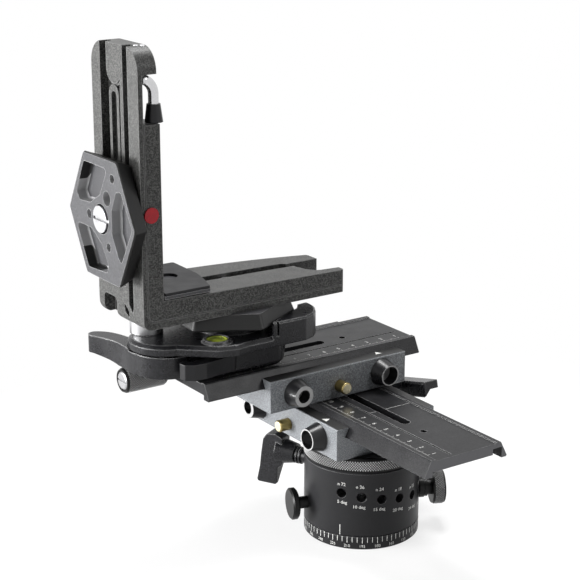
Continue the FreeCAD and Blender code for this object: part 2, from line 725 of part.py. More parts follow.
def slide_unit(prefix, frame, near_end, knob_radius, fixing, lean, plate_frame):
    """The sub-parts of one sliding plate on its block."""
    far_end = f"{near_end} - plate_length"
    collar_end = far_end + " + collar_length"
    axis = ("screw_offset", "screw_height")
    sub_part(block(prefix, fixing), prefix + "_block", frame)
    sub_part(bosses(prefix), prefix + "_bosses", frame)
    sub_part(gib(prefix), prefix + "_gib", frame)
    sub_part(lock_lever(prefix, lean), prefix + "_lock_lever", frame)
    sub_part(release_button(prefix), prefix + "_release_button", frame)
    sub_part(half_nut(prefix), prefix + "_half_nut", frame)
    spring = coil(2.7, 0.3, 2.6, 3)
    spring.Placement = FreeCAD.Placement(V(-29.5, size("button_height"), 0), ALONG["X"])
    made(Part.makeCompound([spring]), prefix + "_release_spring", frame)
    sub_part(plate(prefix, near_end), prefix + "_plate", plate_frame)
    screw = joined(
        prefix + "_screw_blank",
        rod(prefix + "_screw_thread", "screw_radius", "Z", far_end + " - 6", f"{near_end} - 9", axis),
        rod(prefix + "_screw_end", "screw_radius - 0.9", "Z", f"{near_end} - 9", f"{near_end} - 7", axis),
    )
    sub_part(screw, prefix + "_lead_screw", plate_frame)
    collar = less(
        prefix + "_collar_cut",
        rod(prefix + "_collar", "collar_radius - 0.02", "Z", far_end, collar_end + " - 0.1", axis),
        rod(prefix + "_collar_bore", "screw_radius + 0.05", "Z", far_end + " - 1", collar_end + " + 1",
            axis),
    )
    sub_part(collar, prefix + "_screw_bearing", plate_frame)
    outer = far_end + " - 0.3 - knob_length"
    knob_blank = joined(
        prefix + "_knob_blank",
        cone(prefix + "_knob_outer", knob_radius + " - 0.9", knob_radius, "Z", outer, outer + " + 0.9",
             axis),
        rod(prefix + "_knob_grip", knob_radius, "Z", outer + " + 0.9", far_end + " - 1.1", axis),
        cone(prefix + "_knob_inner", knob_radius, knob_radius + " - 0.8", "Z", far_end + " - 1.1",
             far_end + " - 0.3", axis),
    )
    bore = rod(prefix + "_knob_bore", "screw_radius + bore_gap", "Z", far_end + " - 6", far_end + " + 1",
               axis)
    if prefix == "lower":
        sub_part(less(prefix + "_knob_cut", knob_blank, bore), prefix + "_fine_knob", plate_frame)
        return
    knob = less(
        prefix + "_knob_cut", knob_blank, bore,
        rod(prefix + "_knob_recess", knob_radius + " - 1.9", "Z", outer + " - 1", outer + " + 1.2", axis),
        rod(prefix + "_knob_thread", "1.5 + bore_gap", "Z", outer, outer + " + 9", axis),
    )
    sub_part(knob, prefix + "_fine_knob", plate_frame)
    head = joined(
        prefix + "_knob_screw_blank",
        cone(prefix + "_knob_screw_crown", knob_radius + " - 2.9", knob_radius + " - 2.1", "Z",
             outer + " - 0.3", outer + " + 0.3", axis),
        rod(prefix + "_knob_screw_head", knob_radius + " - 2.1", "Z", outer + " + 0.3",
            outer + " + 1.2", axis),
        rod(prefix + "_knob_screw_stem", "1.5", "Z", outer + " + 1.2", outer + " + 8.5", axis),
    )
    slit = box(prefix + "_knob_screw_slit", ("screw_offset - 8", "screw_offset + 8"),
               ("screw_height - 0.5", "screw_height + 0.5"), (outer + " - 1", outer + " + 0.5"))
    sub_part(less(prefix + "_knob_screw_cut", head, slit), prefix + "_knob_screw", plate_frame)


lower_turn = Turn(V(1, 0, 0), 90)
upper_turn = Turn(V(1, 1, 1), 120)
lower_frame = (lower_turn, ("0", "lower_middle", "disc_top"))
upper_frame = (upper_turn, ("upper_middle_x", "upper_middle_y", "disc_top + plate_rise"))

# The lower block is bored for the pan unit's screw, the upper one for its two fixing screws.
slide_unit("lower", lower_frame, "lower_near_end", "lower_knob_radius",
           (("0", "lower_middle", "disc_screw + bore_gap", "8.6"),), 13.8, lower_frame)
UPPER_FIXINGS = ("34", "18")
slide_unit("upper", upper_frame, "upper_near_end", "upper_knob_radius",
           tuple((f"{across} - upper_middle_y", "-upper_middle_x", "2.45 + bore_gap", "7")
                 for across in UPPER_FIXINGS),
           200, upper_frame)

# Countersunk screws that hold the upper block on the lower plate, through the plate's slot.
block_screws = []
for index, along in enumerate(UPPER_FIXINGS):
    place = ("0", along)
    screw_top = "disc_top + plate_rise"
    block_screws.append(joined(
        f"block_screw_{index}",
        rod(f"block_screw_stem_{index}", "2.45", "Z", screw_top + " - plate_web",
            screw_top + " + 6.8", place),
        rod(f"block_screw_head_{index}", "4.6", "Z", screw_top + " - plate_web - 2.2",
            screw_top + " - plate_web", place),
    ))
screw_pair = doc.addObject("Part::Compound", "block_screw_pair")
screw_pair.Links = block_screws
sub_part(screw_pair, "block_screws")

# ---------------------------------------------------------------- quick-release clamp
# Drawn from the hexagon's centre on top of the upper plate: X along the plate, Z up.
clamp_frame = (Turn(), ("hex_x", "mid_y", "disc_top + 2 * plate_rise"))


def outline_solid(points, bottom, top, radius):
    """An upright slab with a rounded outline through straight-sided corners."""
    corners = [V(x, y, bottom) for x, y in points]
    wire = Part.makePolygon(corners + corners[:1])
    slab = Part.Face(wire).extrude(V(0, 0, top - bottom))
    sides = [edge for edge in slab.Edges if upright(edge)]
    return slab.makeFillet(radius, sides)


def level_edges(solid, height):
    """The edges that lie flat at that height."""
    return [e for e in solid.Edges if e.BoundBox.ZLength < 0.01 and abs(e.BoundBox.ZMin - height) < 0.01]


hub = V(size("hub_x"), size("hub_y"), 0)
deck_bottom = size("deck_bottom")
deck_top = size("deck_top")
SCREW_ACROSS = size("upper_middle_y") - size("mid_y")
CATCH_PIN = V(-13.6, -22.6, 0)
CATCH_PIN_RADIUS = 1.5
LEVEL = V(-20.8, -21.4, 0)
POST = V(-43, 15, 0)


def hull():
    """The casting's underside at the free end, rising in a curve like a boat's bow."""
    low, high = V(15.5, -30, -0.5), V(30.5, -30, deck_bottom + 1)
    bow = Part.Arc(low, V(25.6, -30, 4.6), high).toShape()
    corner = V(40, -30, -0.5)
    ends = [Part.LineSegment(high, V(40, -30, deck_bottom + 1)).toShape(),
            Part.LineSegment(V(40, -30, deck_bottom + 1), corner).toShape(),
            Part.LineSegment(corner, low).toShape()]
    return Part.Face(Part.Wire([bow] + ends)).extrude(V(0, 60, 0))


def clamp_base():
    """The lower casting, cut away round the lever's hub and for the safety catch."""
    base = outline_solid(((-26, -23), (20, -23), (30, -12), (30, 12), (20, 23), (-26, 23)),
                         0, deck_bottom, 6)
    base = base.makeChamfer(2.6, level_edges(base, 0))
    room = Part.makeCylinder(size("hub_radius") + size("hub_room"), deck_bottom + 2, hub - V(0, 0, 1))
    catch_room = Part.makeBox(24.2, 8.2, 9.4, V(-34, -26.8, 3.4))
    catch_pin = Part.makeCylinder(CATCH_PIN_RADIUS, 9.8, CATCH_PIN + V(0, 0, 3.2))
    screw = Part.makeCylinder(3.0, deck_bottom + 2, V(0, SCREW_ACROSS, -1))
    head = Part.makeCylinder(6.2, deck_bottom, V(0, SCREW_ACROSS, 6))
    return base.cut([room, catch_room, screw, head, hull()]).fuse(catch_pin).removeSplitter()


made(clamp_base(), "clamp_base", clamp_frame)


def clamp_screw():
    """The screw from under the plate's slot up into the clamp base, with its nut."""
    web = size("plate_web")
    stem = Part.makeCylinder(2.9, web + 11, V(0, SCREW_ACROSS, -web))
    head = Part.makeCylinder(6, 2.4, V(0, SCREW_ACROSS, -web - 2.4))
    nut = Part.makeCylinder(5.8, 4, V(0, SCREW_ACROSS, 6.1))
    return stem.fuse([head, nut]).removeSplitter()


made(clamp_screw(), "clamp_screw", clamp_frame)

# The hexagon in the clamp: its sides slope outward towards its lower, larger face.  A slanted
# side falls by HEX_FALL across for each millimetre along the plate.
HEX_SPREAD = size("hex_thickness") * math.tan(math.radians(size("hex_draft")))
HEX_FALL = size("hex_back_reach") / 2 / size("hex_back_half")
HEX_REACH = size("hex_back_reach") + HEX_SPREAD * math.hypot(1, HEX_FALL)
HEX_HALF = size("hex_back_half") + HEX_SPREAD

NEAR_SIDE = ((-50.1, -9.1), (-25.4, -31.3), (-14.5, -34.2), (-7.5, -32.8), (29, -32.8), (36, -30),
             (40.4, -25.6), (43.8, -19.8), (44.6, -15))
FAR_SIDE = ((44.6, 15), (43.8, 21.4), (40.4, 27.2), (36, 31.6), (29, 34.4), (-16, 34.4), (-46, 20.4))


def jaw(side):
    """A raised lip beside the hexagon; side is -1 for the near one and 1 for the far one."""
    start, end = 8.2, HEX_HALF + size("jaw_gap")

    def edge(x):
        return HEX_REACH + size("jaw_gap") - x * HEX_FALL + side * size("slot_shift")

    blank = outline_solid(NEAR_SIDE + FAR_SIDE, deck_bottom, size("jaw_top"), 2.5)
    blank = blank.makeChamfer(0.9, level_edges(blank, size("jaw_top")))
    kept = [V(x, side * y, deck_bottom - 1) for x, y in (
        (start, edge(start)), (end, edge(end)), (37.5, 12.2), (50, 11), (50, 40), (start, 40))]
    lip = blank.common(Part.Face(Part.makePolygon(kept + kept[:1])).extrude(V(0, 0, 30)))
    slot = Part.makeBox(1.3, 8, 20, V(start + 2, side * 33 - 4, deck_top))
    return lip.cut(slot) if side < 0 else lip


def clamp_deck():
    """The upper casting: pointed round the hub, swollen for the level, with jaws and post."""
    deck = outline_solid(NEAR_SIDE + FAR_SIDE, deck_bottom, deck_top, 2.5)
    nose = Part.makeCylinder(size("nose_radius"), deck_top - deck_bottom, hub + V(0, 0, deck_bottom))
    deck = deck.fuse(nose).removeSplitter()
    deck = deck.makeChamfer(1.9, level_edges(deck, deck_top))
    seat = Part.makeCylinder(20, size("seat_top") - deck_top, V(0, 0, deck_top))
    post = Part.makeCylinder(9, 34 - deck_top, POST + V(0, 0, deck_top))
    level_boss = Part.makeCone(8.2, 7.2, 1.8, LEVEL + V(0, 0, deck_top))
    deck = deck.fuse([seat, post, level_boss, jaw(-1), jaw(1)]).removeSplitter()
    level_seat = Part.makeCylinder(6, 6, LEVEL + V(0, 0, deck_top - 3.2))
    pin = Part.makeCylinder(size("pivot_radius"), deck_top - deck_bottom, hub + V(0, 0, deck_bottom - 1))
    screw_room = Part.makeCylinder(6.2, 3, V(0, SCREW_ACROSS, deck_bottom - 1))
    head_room = Part.makeCylinder(9, 5, V(0, size("slot_shift"), size("seat_top") - 2.2))
    return deck.cut([level_seat, pin, screw_room, head_room])


made(clamp_deck(), "clamp_deck", clamp_frame)


def bubble_level():
    """A round vial in a metal cup."""
    place = LEVEL + V(0, 0, deck_top - 3.2)
    cup = Part.makeCylinder(5.9, 4.6, place)
    room = Part.makeCylinder(5.0, 4.2, place + V(0, 0, 0.6))
    vial = Part.makeCylinder(5.0, 3.2, place + V(0, 0, 0.6))
    dome = Part.makeSphere(9.6, place + V(0, 0, -5.1))
    keep = Part.makeCylinder(5.0, 6, place + V(0, 0, 0.6))
    return Part.makeCompound([cup.cut(room), vial.fuse(dome.common(keep)).removeSplitter()])


made(bubble_level(), "bubble_level", clamp_frame)

pin_radius = size("pivot_radius") - 0.02
made(Part.makeCylinder(pin_radius, deck_top - 1.5, hub + V(0, 0, 0.3)), "lever_pin", clamp_frame)


def clamp_lever():
    """Curved main lever: a round hub with a grip that sweeps out past the nose."""
    low, high = size("hub_bottom"), size("hub_top")
    disc = Part.makeCylinder(size("hub_radius"), high - low, hub + V(0, 0, low))
    near = Part.BSplineCurve()
    near.interpolate([V(-54.6, 0, low), V(-57.4, 9, low), V(-57, 18, low), V(-58, 28, low),
                      V(-61.6, 37.5, low), V(-63.6, 41.8, low)])
    far = Part.BSplineCurve()
    far.interpolate([V(-58.6, 46.4, low), V(-52.6, 41, low), V(-48.8, 32, low), V(-46.5, 24, low),
                     V(-40, 19.5, low)])
    tip = Part.Arc(V(-63.6, 41.8, low), V(-62.6, 45.4, low), V(-58.6, 46.4, low))
    root = Part.LineSegment(V(-40, 19.5, low), V(-40, 2, low))
    back = Part.LineSegment(V(-40, 2, low), V(-54.6, 0, low))
    sides = [near.toShape(), tip.toShape(), far.toShape(), root.toShape(), back.toShape()]
    grip = Part.Face(Part.Wire(sides)).extrude(V(0, 0, high - low + 1.2))
    roof_room = Part.makeCylinder(size("nose_radius") + 0.4, 4, hub + V(0, 0, high))
    wedge = Part.makePolygon([V(-70, 16, low - 1), V(-70, 60, low - 1), V(-70, 60, low + 3.4),
                              V(-70, 40, low + 3.1), V(-70, 16, low - 1)])
    belly = Part.Face(wedge).extrude(V(40, 0, 0))
    solid = disc.fuse(grip.cut(roof_room).cut(belly)).removeSplitter()
    return solid.cut(Part.makeCylinder(size("pivot_radius") + 0.03, 20, hub))


made(clamp_lever(), "clamp_lever", clamp_frame)


def safety_catch():
    """Small finger catch on the near side, turning on its own pin."""
    low, high = 3.8, 12.4
    blade = outline_solid(((-43.6, -20.2), (-42.6, -24.6), (-38, -27.6), (-31.5, -28.2), (-20, -26.4),
                           (-13.2, -25.8), (-13.2, -19.4), (-26, -19.8), (-36, -21.6), (-40.5, -18.4)),
                          low, high, 1.1)
    knuckle = Part.makeCylinder(3.25, high - low, CATCH_PIN + V(0, 0, low))
    eye = Part.makeCylinder(CATCH_PIN_RADIUS + 0.05, 12, CATCH_PIN + V(0, 0, 2))
    return blade.fuse(knuckle).removeSplitter().cut(eye)


made(safety_catch(), "safety_catch", clamp_frame)

# ---------------------------------------------------------------- hexagonal plates
SCREW_HEAD = 7.1
HEX_HOLES = ((6.7, 12, 3.9), (13, 23.4, 2.3), (-13, 0.3, 2.4), (7.2, -13.5, 2.3))
POCKET_PLAN = ((32.5, 1), (21, -18.5), (18.5, -18.5), (11.3, -6), (11.5, 6.5), (16.5, 17), (21.5, 18))


def hex_pocket(turn):
    """One of the three hollows round the screw, with a soft edge round its floor."""
    floor = size("hex_thickness") - size("pocket_depth")
    corners = [V(x, y, floor) for x, y in POCKET_PLAN]
    room = Part.Face(Part.makePolygon(corners + corners[:1])).extrude(V(0, 0, size("pocket_depth") + 1))
    room = room.makeFillet(2.0, [e for e in room.Edges if upright(e)])
    room = room.makeFillet(1.3, level_edges(room, floor))
    room.rotate(V(), V(0, 0, 1), turn)
    return room


def hex_plate(prefix, boss_height):
    """A six-sided dovetail plate: small face at height zero, pockets round a screw on the large one."""
    reach, half = "hex_back_reach", "hex_back_half"
    body = doc.addObject("PartDesign::Body", prefix + "_hex_body")
    outline = sketch(body, prefix + "_hex_outline", "XY_Plane", (
        (reach, "0"), (reach + " / 2", half), ("-" + reach + " / 2", half),
        ("-" + reach, "0"), ("-" + reach + " / 2", "-" + half), (reach + " / 2", "-" + half),
    ))
    slab = pad(body, outline, "hex_thickness")
    bind(slab, "TaperAngle", "hex_draft")
    top = size("hex_thickness")
    soft = ease(body, slab, "Fillet", "hex_corner", lambda e: e.BoundBox.ZLength > top - 0.1)
    ease(body, soft, "Chamfer", "0.9", lambda e: e.BoundBox.ZLength < 0.01 and e.BoundBox.ZMin > top - 0.01)
    doc.recompute()
    solid = body.Shape
    if boss_height:
        solid = solid.fuse(Part.makeCylinder(12, boss_height, V(0, 0, -boss_height))).removeSplitter()
    hollows = [hex_pocket(turn) for turn in (0, 120, 240)]
    hollows.append(Part.makeCylinder(2.6, 20, V(0, 0, -2)))
    hollows.append(Part.makeCylinder(SCREW_HEAD + 0.8, 4, V(0, 0, top - 3)))
    hollows += [Part.makeCylinder(radius, 20, V(x, y, -2)) for x, y, radius in HEX_HOLES]
    return solid.cut(hollows)


# The upright's plate stands off by a round boss; the foot's plate bears on the foot itself.
BOSS = 0.9
facing_left = Turn(V(0, -1, 0), V(0, 0, 1), V(-1, 0, 0), "XYZ")
facing_down = Turn(V(0, 1, 0), V(1, 0, 0), V(0, 0, -1), "XYZ")
bracket_z = "disc_top + 2 * plate_rise + seat_top + hex_thickness"
upright_hex_frame = (facing_left, (f"arm_x - 0.3 - {BOSS}", "mid_y + slot_shift", "upright_plate_z"))
lower_hex_frame = (facing_down, ("hex_x", "mid_y + slot_shift", bracket_z))
made(hex_plate("upright", BOSS), "upright_hex_plate", upright_hex_frame)
made(hex_plate("lower", 0), "lower_hex_plate", lower_hex_frame)


def hex_screw(nut_radius, nut_low, nut_high):
    """Large coin-slot screw that holds a hexagonal plate in the bracket's slot, with its nut."""
    top = size("hex_thickness")
    stem = Part.makeCylinder(2.55, top - nut_low, V(0, 0, nut_low))
    nut = Part.makeCylinder(nut_radius, nut_high - nut_low, V(0, 0, nut_low))
    head = Part.makeCylinder(SCREW_HEAD, 4, V(0, 0, top - 3))
    slit = Part.makeBox(20, 1.6, 1.4, V(-10, -0.8, top - 0.4))
    return stem.fuse([nut, head]).removeSplitter().cut(slit)


made(hex_screw(5.2, -12.5, -10.3), "upright_hex_screw", upright_hex_frame)
made(hex_screw(3.6, -11.6, -10.2), "lower_hex_screw", lower_hex_frame)

# ---------------------------------------------------------------- L bracket
# Drawn from the foot of its outer corner: X along the foot, Y across, Z up.
bracket_frame = (Turn(), ("arm_x", "mid_y", bracket_z))
NOTCH_BOTTOM = 106.9
NOTCH_TOP = 132
LEVER_PIVOT = V(5.9, -19.3, 129)


def cap_screws():
    """Two small bright screws sunk in the rounded near corner of the upright's top."""
    screws = []
    radius = size("arm_round")
    centre = V(0, radius - size("arm_width") / 2, size("arm_height") - radius)
    for across, lean in ((5.5, 6.2), (8.5, 11.5)):
        turn = math.radians(lean)
        outward = V(0, -math.sin(turn), math.cos(turn))
        foot = centre + outward * (radius - 1.2) + V(across, 0, 0)
        screws.append(Part.makeCylinder(1.3, 1.5, foot, outward))
    return screws


def slab_with(corners, low, high, rounds):
    """An upright slab between two heights, with a radius at each numbered corner."""
    points = [V(x, y, low) for x, y in corners]
    solid = Part.Face(Part.makePolygon(points + points[:1])).extrude(V(0, 0, high - low))
    for index, radius in rounds.items():
        at_corner = [e for e in solid.Edges if upright(e)
                     and min(v.Point.distanceToPoint(points[index]) for v in e.Vertexes) < 0.001]
        solid = solid.makeFillet(radius, at_corner)
    return solid


def side_slab(corners, x_low, x_high, radius):
    """A slab along X from an outline of (y, z) corners, every corner rounded."""
    points = [V(x_low, y, z) for y, z in corners]
    solid = Part.Face(Part.makePolygon(points + points[:1])).extrude(V(x_high - x_low, 0, 0))
    along = [e for e in solid.Edges if e.BoundBox.XLength > x_high - x_low - 0.01]
    return solid.makeFillet(radius, along)


def long_hole(x, y, z, axis, radius):
    """A box with fully rounded ends, cut through along the axis."""
    solid = Part.makeBox(x[1] - x[0], y[1] - y[0], z[1] - z[0], V(x[0], y[0], z[0]))
    reach = {"X": x[1] - x[0], "Z": z[1] - z[0]}[axis]
    corners = [e for e in solid.Edges if abs(getattr(e.BoundBox, axis + "Length") - reach) < 0.01]
    return solid.makeFillet(radius, corners)


def corner_waste(y, z, radius, toward, length):
    """What a rounding along X takes off a bottom corner; toward is the side that stays, 1 or -1."""
    centre_y = y + toward * radius
    block_ = Part.makeBox(length, radius + 1, radius + 1, V(-1, min(centre_y, y - toward), z - 1))
    return block_.cut(Part.makeCylinder(radius, length + 2, V(-2, centre_y, z + radius), V(1, 0, 0)))


def upright_wall():
    """The upright's plain slab, its two top corners fully rounded."""
    height, half, thick = size("arm_height"), size("arm_width") / 2, size("upright_thick")
    wall = Part.makeBox(thick, 2 * half, height, V(0, -half, 0))
    crown = [e for e in wall.Edges if e.BoundBox.XLength > thick - 0.1 and e.BoundBox.ZMin > height - 0.1]
    return wall.makeFillet(size("arm_round"), crown)


def foot_beam():
    """The foot: straight near side, far side bowed inward towards the free end."""
    length, half, thick = size("arm_length"), size("arm_width") / 2, size("upright_thick")
    foot, root = size("foot_thick"), size("foot_thick_root")
    side = Part.makePolygon([V(0, -half, 0), V(length, -half, 0), V(length, -half, foot),
                             V(thick, -half, root), V(0, -half, root), V(0, -half, 0)])
    beam = Part.Face(side).extrude(V(0, 2 * half, 0))
    start, end = V(39, half, -1), V(length + 1, half - 11.7, -1)
    beyond, above = V(length + 1, half + 1, -1), V(39, half + 1, -1)
    bow = Part.Arc(start, V(85, half - 3.2, -1), end).toShape()
    straight = [Part.LineSegment(a, b).toShape() for a, b in ((end, beyond), (beyond, above), (above, start))]
    beam = beam.cut(Part.Face(Part.Wire([bow] + straight)).extrude(V(0, 0, root + 2)))
    tips = [e for e in beam.Edges if e.BoundBox.ZLength > foot - 0.1 and e.BoundBox.XMin > length - 0.1]
    return beam.makeFillet(2.2, tips)


def outer_relief():
    """What is cut from the upright's outer face: a deep channel that leaves a rim, a rib and a web."""
    middle, height = size("slot_shift"), size("arm_height")
    channel = Part.makeBox(6, 28.3, height, V(-1, -13.5, 20))
    gully = side_slab(((-13.5, 22), (-13.5, 10), (-12.6, 7.5), (-11.8, 7.5), (-8.7, 11), (-8.7, 22)),
                      -1, 5, 0.35)
    rim = long_hole((0, 6), (middle - 5, middle + 5), (22, 124.3), "X", 4.9)
    rib = Part.makeBox(6, 3, height, V(0, -8.7, 8))
    web = Part.makeBox(6, 15, 40, V(0, -7, 125))
    web = web.makeFillet(7.2, [e for e in web.Edges if e.BoundBox.XLength > 5 and e.BoundBox.ZMax < 126])
    boss = Part.makeCylinder(8.3, 5, V(1, 0.5, 132), V(1, 0, 0))
    return channel.cut(rim.fuse([rib, web, boss])).fuse(gully)


def low_reliefs():
    """The hollows at the foot of the upright's outer face."""
    window = Part.makeBox(7.5, 14, 12.5, V(-1, 4.5, -1))
    window = window.makeFillet(3, [e for e in window.Edges if e.BoundBox.XLength > 7
                                   and e.BoundBox.ZMin > 11])
    drop = side_slab(((-3.3, 11.2), (-4.2, 6.2), (-9, 3.4), (-8.4, 7.4)), -1, 3, 0.8)
    heel_far = corner_waste(size("arm_width") / 2, 0, 6.5, -1, size("arm_length") + 3)
    heel_lobe = corner_waste(4.5, 0, 3.8, -1, 7.5)
    return [window, drop, heel_far, heel_lobe]


def score_line():
    """A fine groove beside the outer corner of a side face, up the upright and along the foot."""
    length, height = size("arm_length"), size("arm_height")
    wide = Part.makeBox(length + 2, 0.5, height + 2, V(2.5, 0, 3.8))
    kept = Part.makeBox(length + 2, 0.5, height + 2, V(3.1, 0, 4.4))
    bends = []
    for solid, radius in ((wide, 4.3), (kept, 3.7)):
        corner = [e for e in solid.Edges if e.BoundBox.XMax < 3.2 and e.BoundBox.ZMax < 4.5]
        bends.append(solid.makeFillet(radius, corner))
    return bends[0].cut(bends[1])


def lever_notch():
    """The notch for the small lever: deep on the near side, shallower beyond it."""
    plan = ((2.9, -30), (16, -30), (16, 30), (8.6, 30), (8.6, -12.7), (2.9, -12.7))
    notch = slab_with(plan, NOTCH_BOTTOM, NOTCH_TOP, {4: 1.5})
    inner = [e for e in notch.Edges if e.BoundBox.XMax < 2.95 and e.BoundBox.ZLength < 0.01]
    notch = notch.makeFillet(1.7, inner)
    thinner_top = Part.makeBox(4, 60, 20, V(10.7, -30, NOTCH_TOP - 0.1))
    pin_hole = Part.makeCylinder(size("lever_pin") + 0.05, 14, LEVER_PIVOT + V(0, -4.5, 0), V(0, 1, 0))
    return [notch, thinner_top, pin_hole]


def bracket():
    """Upright and foot in one piece, with their slots, ribs, mouth and lever notch."""
    length, half = size("arm_length"), size("arm_width") / 2
    thick, foot = size("upright_thick"), size("foot_thick")
    middle, wide = size("slot_shift"), size("slot_wide") / 2
    solid = upright_wall().fuse(foot_beam()).removeSplitter()
    heel = [e for e in solid.Edges if e.BoundBox.YLength > 40 and e.BoundBox.XMax < 0.1
            and e.BoundBox.ZMax < 0.1]
    solid = solid.makeFillet(4.5, heel).cut(outer_relief())
    # The upright's slot, stepped at its outer face, with a wider recess on the inner one.
    narrow = wide - 0.55
    outer_slot = long_hole((-5, thick + 5), (middle - narrow, middle + narrow), (25.55, 121.05), "X",
                           narrow - 0.05)
    slot = long_hole((2.5, thick + 5), (middle - wide, middle + wide), (25, 121.6), "X", wide - 0.05)
    recess = long_hole((thick - 3.2, thick + 1), (middle - 6.5, middle + 6.5), (24, 105), "X", 6.4)
    # The foot's slot with its wider groove, and a mouth at the free end that opens to the near side.
    foot_slot = long_hole((18.5, 104), (middle - wide, middle + wide), (-5, 40), "Z", wide - 0.05)
    groove = long_hole((14.5, 106), (middle - wide - 0.5, middle + wide + 0.5), (foot - 2.8, 40), "Z",
                       wide + 0.4)
    mouth_plan = ((107, 2.6), (107, -4), (109, -12), (112, -16), (115, -17.4), (length + 2, -18.4),
                  (length + 2, 2.8))
    mouth = slab_with(mouth_plan, -5, 40, {0: 1.6, 2: 2.5})
    neck = Part.makeBox(12, 5.5, 8, V(98, middle - 4, foot - 2.8))
    under = Part.makeBox(92, 15, 4.6, V(15, middle - 7.5, -1))
    scores = [score_line(), score_line()]
    scores[0].translate(V(0, -half - 0.1, 0))
    scores[1].translate(V(0, half - 0.4, 0))
    cuts = [outer_slot, slot, recess, foot_slot, groove, mouth, neck, under]
    return solid.cut(cuts + low_reliefs() + lever_notch() + scores + cap_screws()).removeSplitter()


made(bracket(), "l_bracket", bracket_frame)

dot_place = V(5.7, -size("arm_width") / 2 - 0.8, 60.9)
made(Part.makeCylinder(4.1, 0.8, dot_place, V(0, 1, 0)), "side_dot", bracket_frame)

BEND_CENTRE = V(3.39, LEVER_PIVOT.y, 121.5)
BEND_RADIUS = LEVER_PIVOT.distanceToPoint(BEND_CENTRE)
BEND_END = BEND_CENTRE + V(BEND_RADIUS, 0, 0)
GRIP_TOP = 116.6
ROD_END = 113.5


def top_lever():
    """Bright rod on its cross pin, bent down beside the bracket's top."""
    pin = Part.makeCylinder(size("lever_pin"), 11.8, LEVER_PIVOT + V(0, -2.5, 0), V(0, 1, 0))
    half_way = (LEVER_PIVOT + BEND_END) / 2 - BEND_CENTRE
    middle = BEND_CENTRE + half_way.normalize() * BEND_RADIUS
    foot = V(BEND_END.x, BEND_END.y, ROD_END)
    bend = Part.Arc(LEVER_PIVOT, middle, BEND_END).toShape()
    path = Part.Wire([bend, Part.LineSegment(BEND_END, foot).toShape()])
    start = bend.tangentAt(bend.FirstParameter)
    ring = Part.Wire([Part.makeCircle(size("lever_rod"), LEVER_PIVOT, start)])
    stalk = path.makePipeShell([ring], True, True)
    eye = Part.makeSphere(size("lever_rod"), LEVER_PIVOT)
    return pin.fuse([eye, stalk]).removeSplitter()


def top_lever_grip():
    """The tapered grip pushed over the rod's end."""
    top = V(BEND_END.x, BEND_END.y, GRIP_TOP)
    grip = Part.makeCone(3.5, 4.7, GRIP_TOP - 107.4, top, V(0, 0, -1))
    bore_radius = size("lever_rod") + size("bore_gap")
    return grip.cut(Part.makeCylinder(bore_radius, GRIP_TOP - ROD_END, top, V(0, 0, -1)))


made(top_lever(), "top_lever", bracket_frame)
made(top_lever_grip(), "top_lever_grip", bracket_frame)
made(Part.makeCompound(cap_screws()), "cap_screws", bracket_frame)

# ---------------------------------------------------------------- camera plate
camera_frame = (Turn(), ("camera_plate_x", "mid_y", bracket_z))
PLATE_PLAN = ((-17.3, -23.8), (10.2, -23.8), (14, -12), (16.6, 0), (17, 26), (-17.3, 26))


def camera_plate():
    """Flat plate whose free edge is bowed, with a key that runs in the foot's groove."""
    low = size("foot_thick_root") + 0.3
    slab = slab_with(PLATE_PLAN, low, low + 1.8, {4: 1.5})
    middle, key_wide = size("slot_shift"), size("slot_wide") - 0.6
    key_bottom = size("foot_thick") - 2.2
    key = Part.makeBox(24, key_wide, low - key_bottom + 0.1, V(-12, middle - key_wide / 2, key_bottom))
    hole = Part.makeCylinder(3.12, 20, V(0, middle, low - 12))
    return slab.fuse(key).removeSplitter().cut(hole)


def camera_pad():
    low = size("foot_thick_root") + 2.1
    plan = [(x * 0.98 + (0.3 if x < 0 else 0), y * 0.99) for x, y in PLATE_PLAN]
    slab = slab_with(plan, low, low + 1.5, {4: 1.5})
    return slab.cut(Part.makeCylinder(5.0, 20, V(1, 4, low - 8)))


made(camera_plate(), "camera_plate", camera_frame)
made(camera_pad(), "camera_pad", camera_frame)
camera_shank = Part.makeCylinder(3.1, 14.2, V(0, size("slot_shift"), 1.2))
camera_head = Part.makeCylinder(6.4, 2.2, V(0, size("slot_shift"), 0.6))
made(camera_shank.fuse(camera_head).removeSplitter(), "camera_screw", camera_frame)

# ---------------------------------------------------------------- checks and export
doc.recompute()
for item in doc.Objects:
    if "Invalid" in item.State or "Error" in item.State:
        raise RuntimeError(f"{item.Name} failed: {item.State}")
for item in SUB_PARTS:
    if item.Shape.isNull() or not item.Shape.isValid():
        raise RuntimeError(f"{item.Label} has no valid shape")

os.makedirs("parts", exist_ok=True)
for item in SUB_PARTS:
    item.Shape.exportStep(f"parts/{item.Label}.step")
print(len(SUB_PARTS), "sub-parts written")
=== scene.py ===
# %% [markdown]
# # A panoramic tripod head, dressed
# The machine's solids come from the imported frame, already in place and in metres.  This lesson
# gives each of them the finish of the real thing, and adds what a plain solid leaves out: the
# knurling of a disc and three knobs, the polished skin of the clamp's post, and the painted
# figures, scales and pointers.

# %% The frame
import json
import math

import bmesh
import bpy
from mathutils import Matrix, Vector


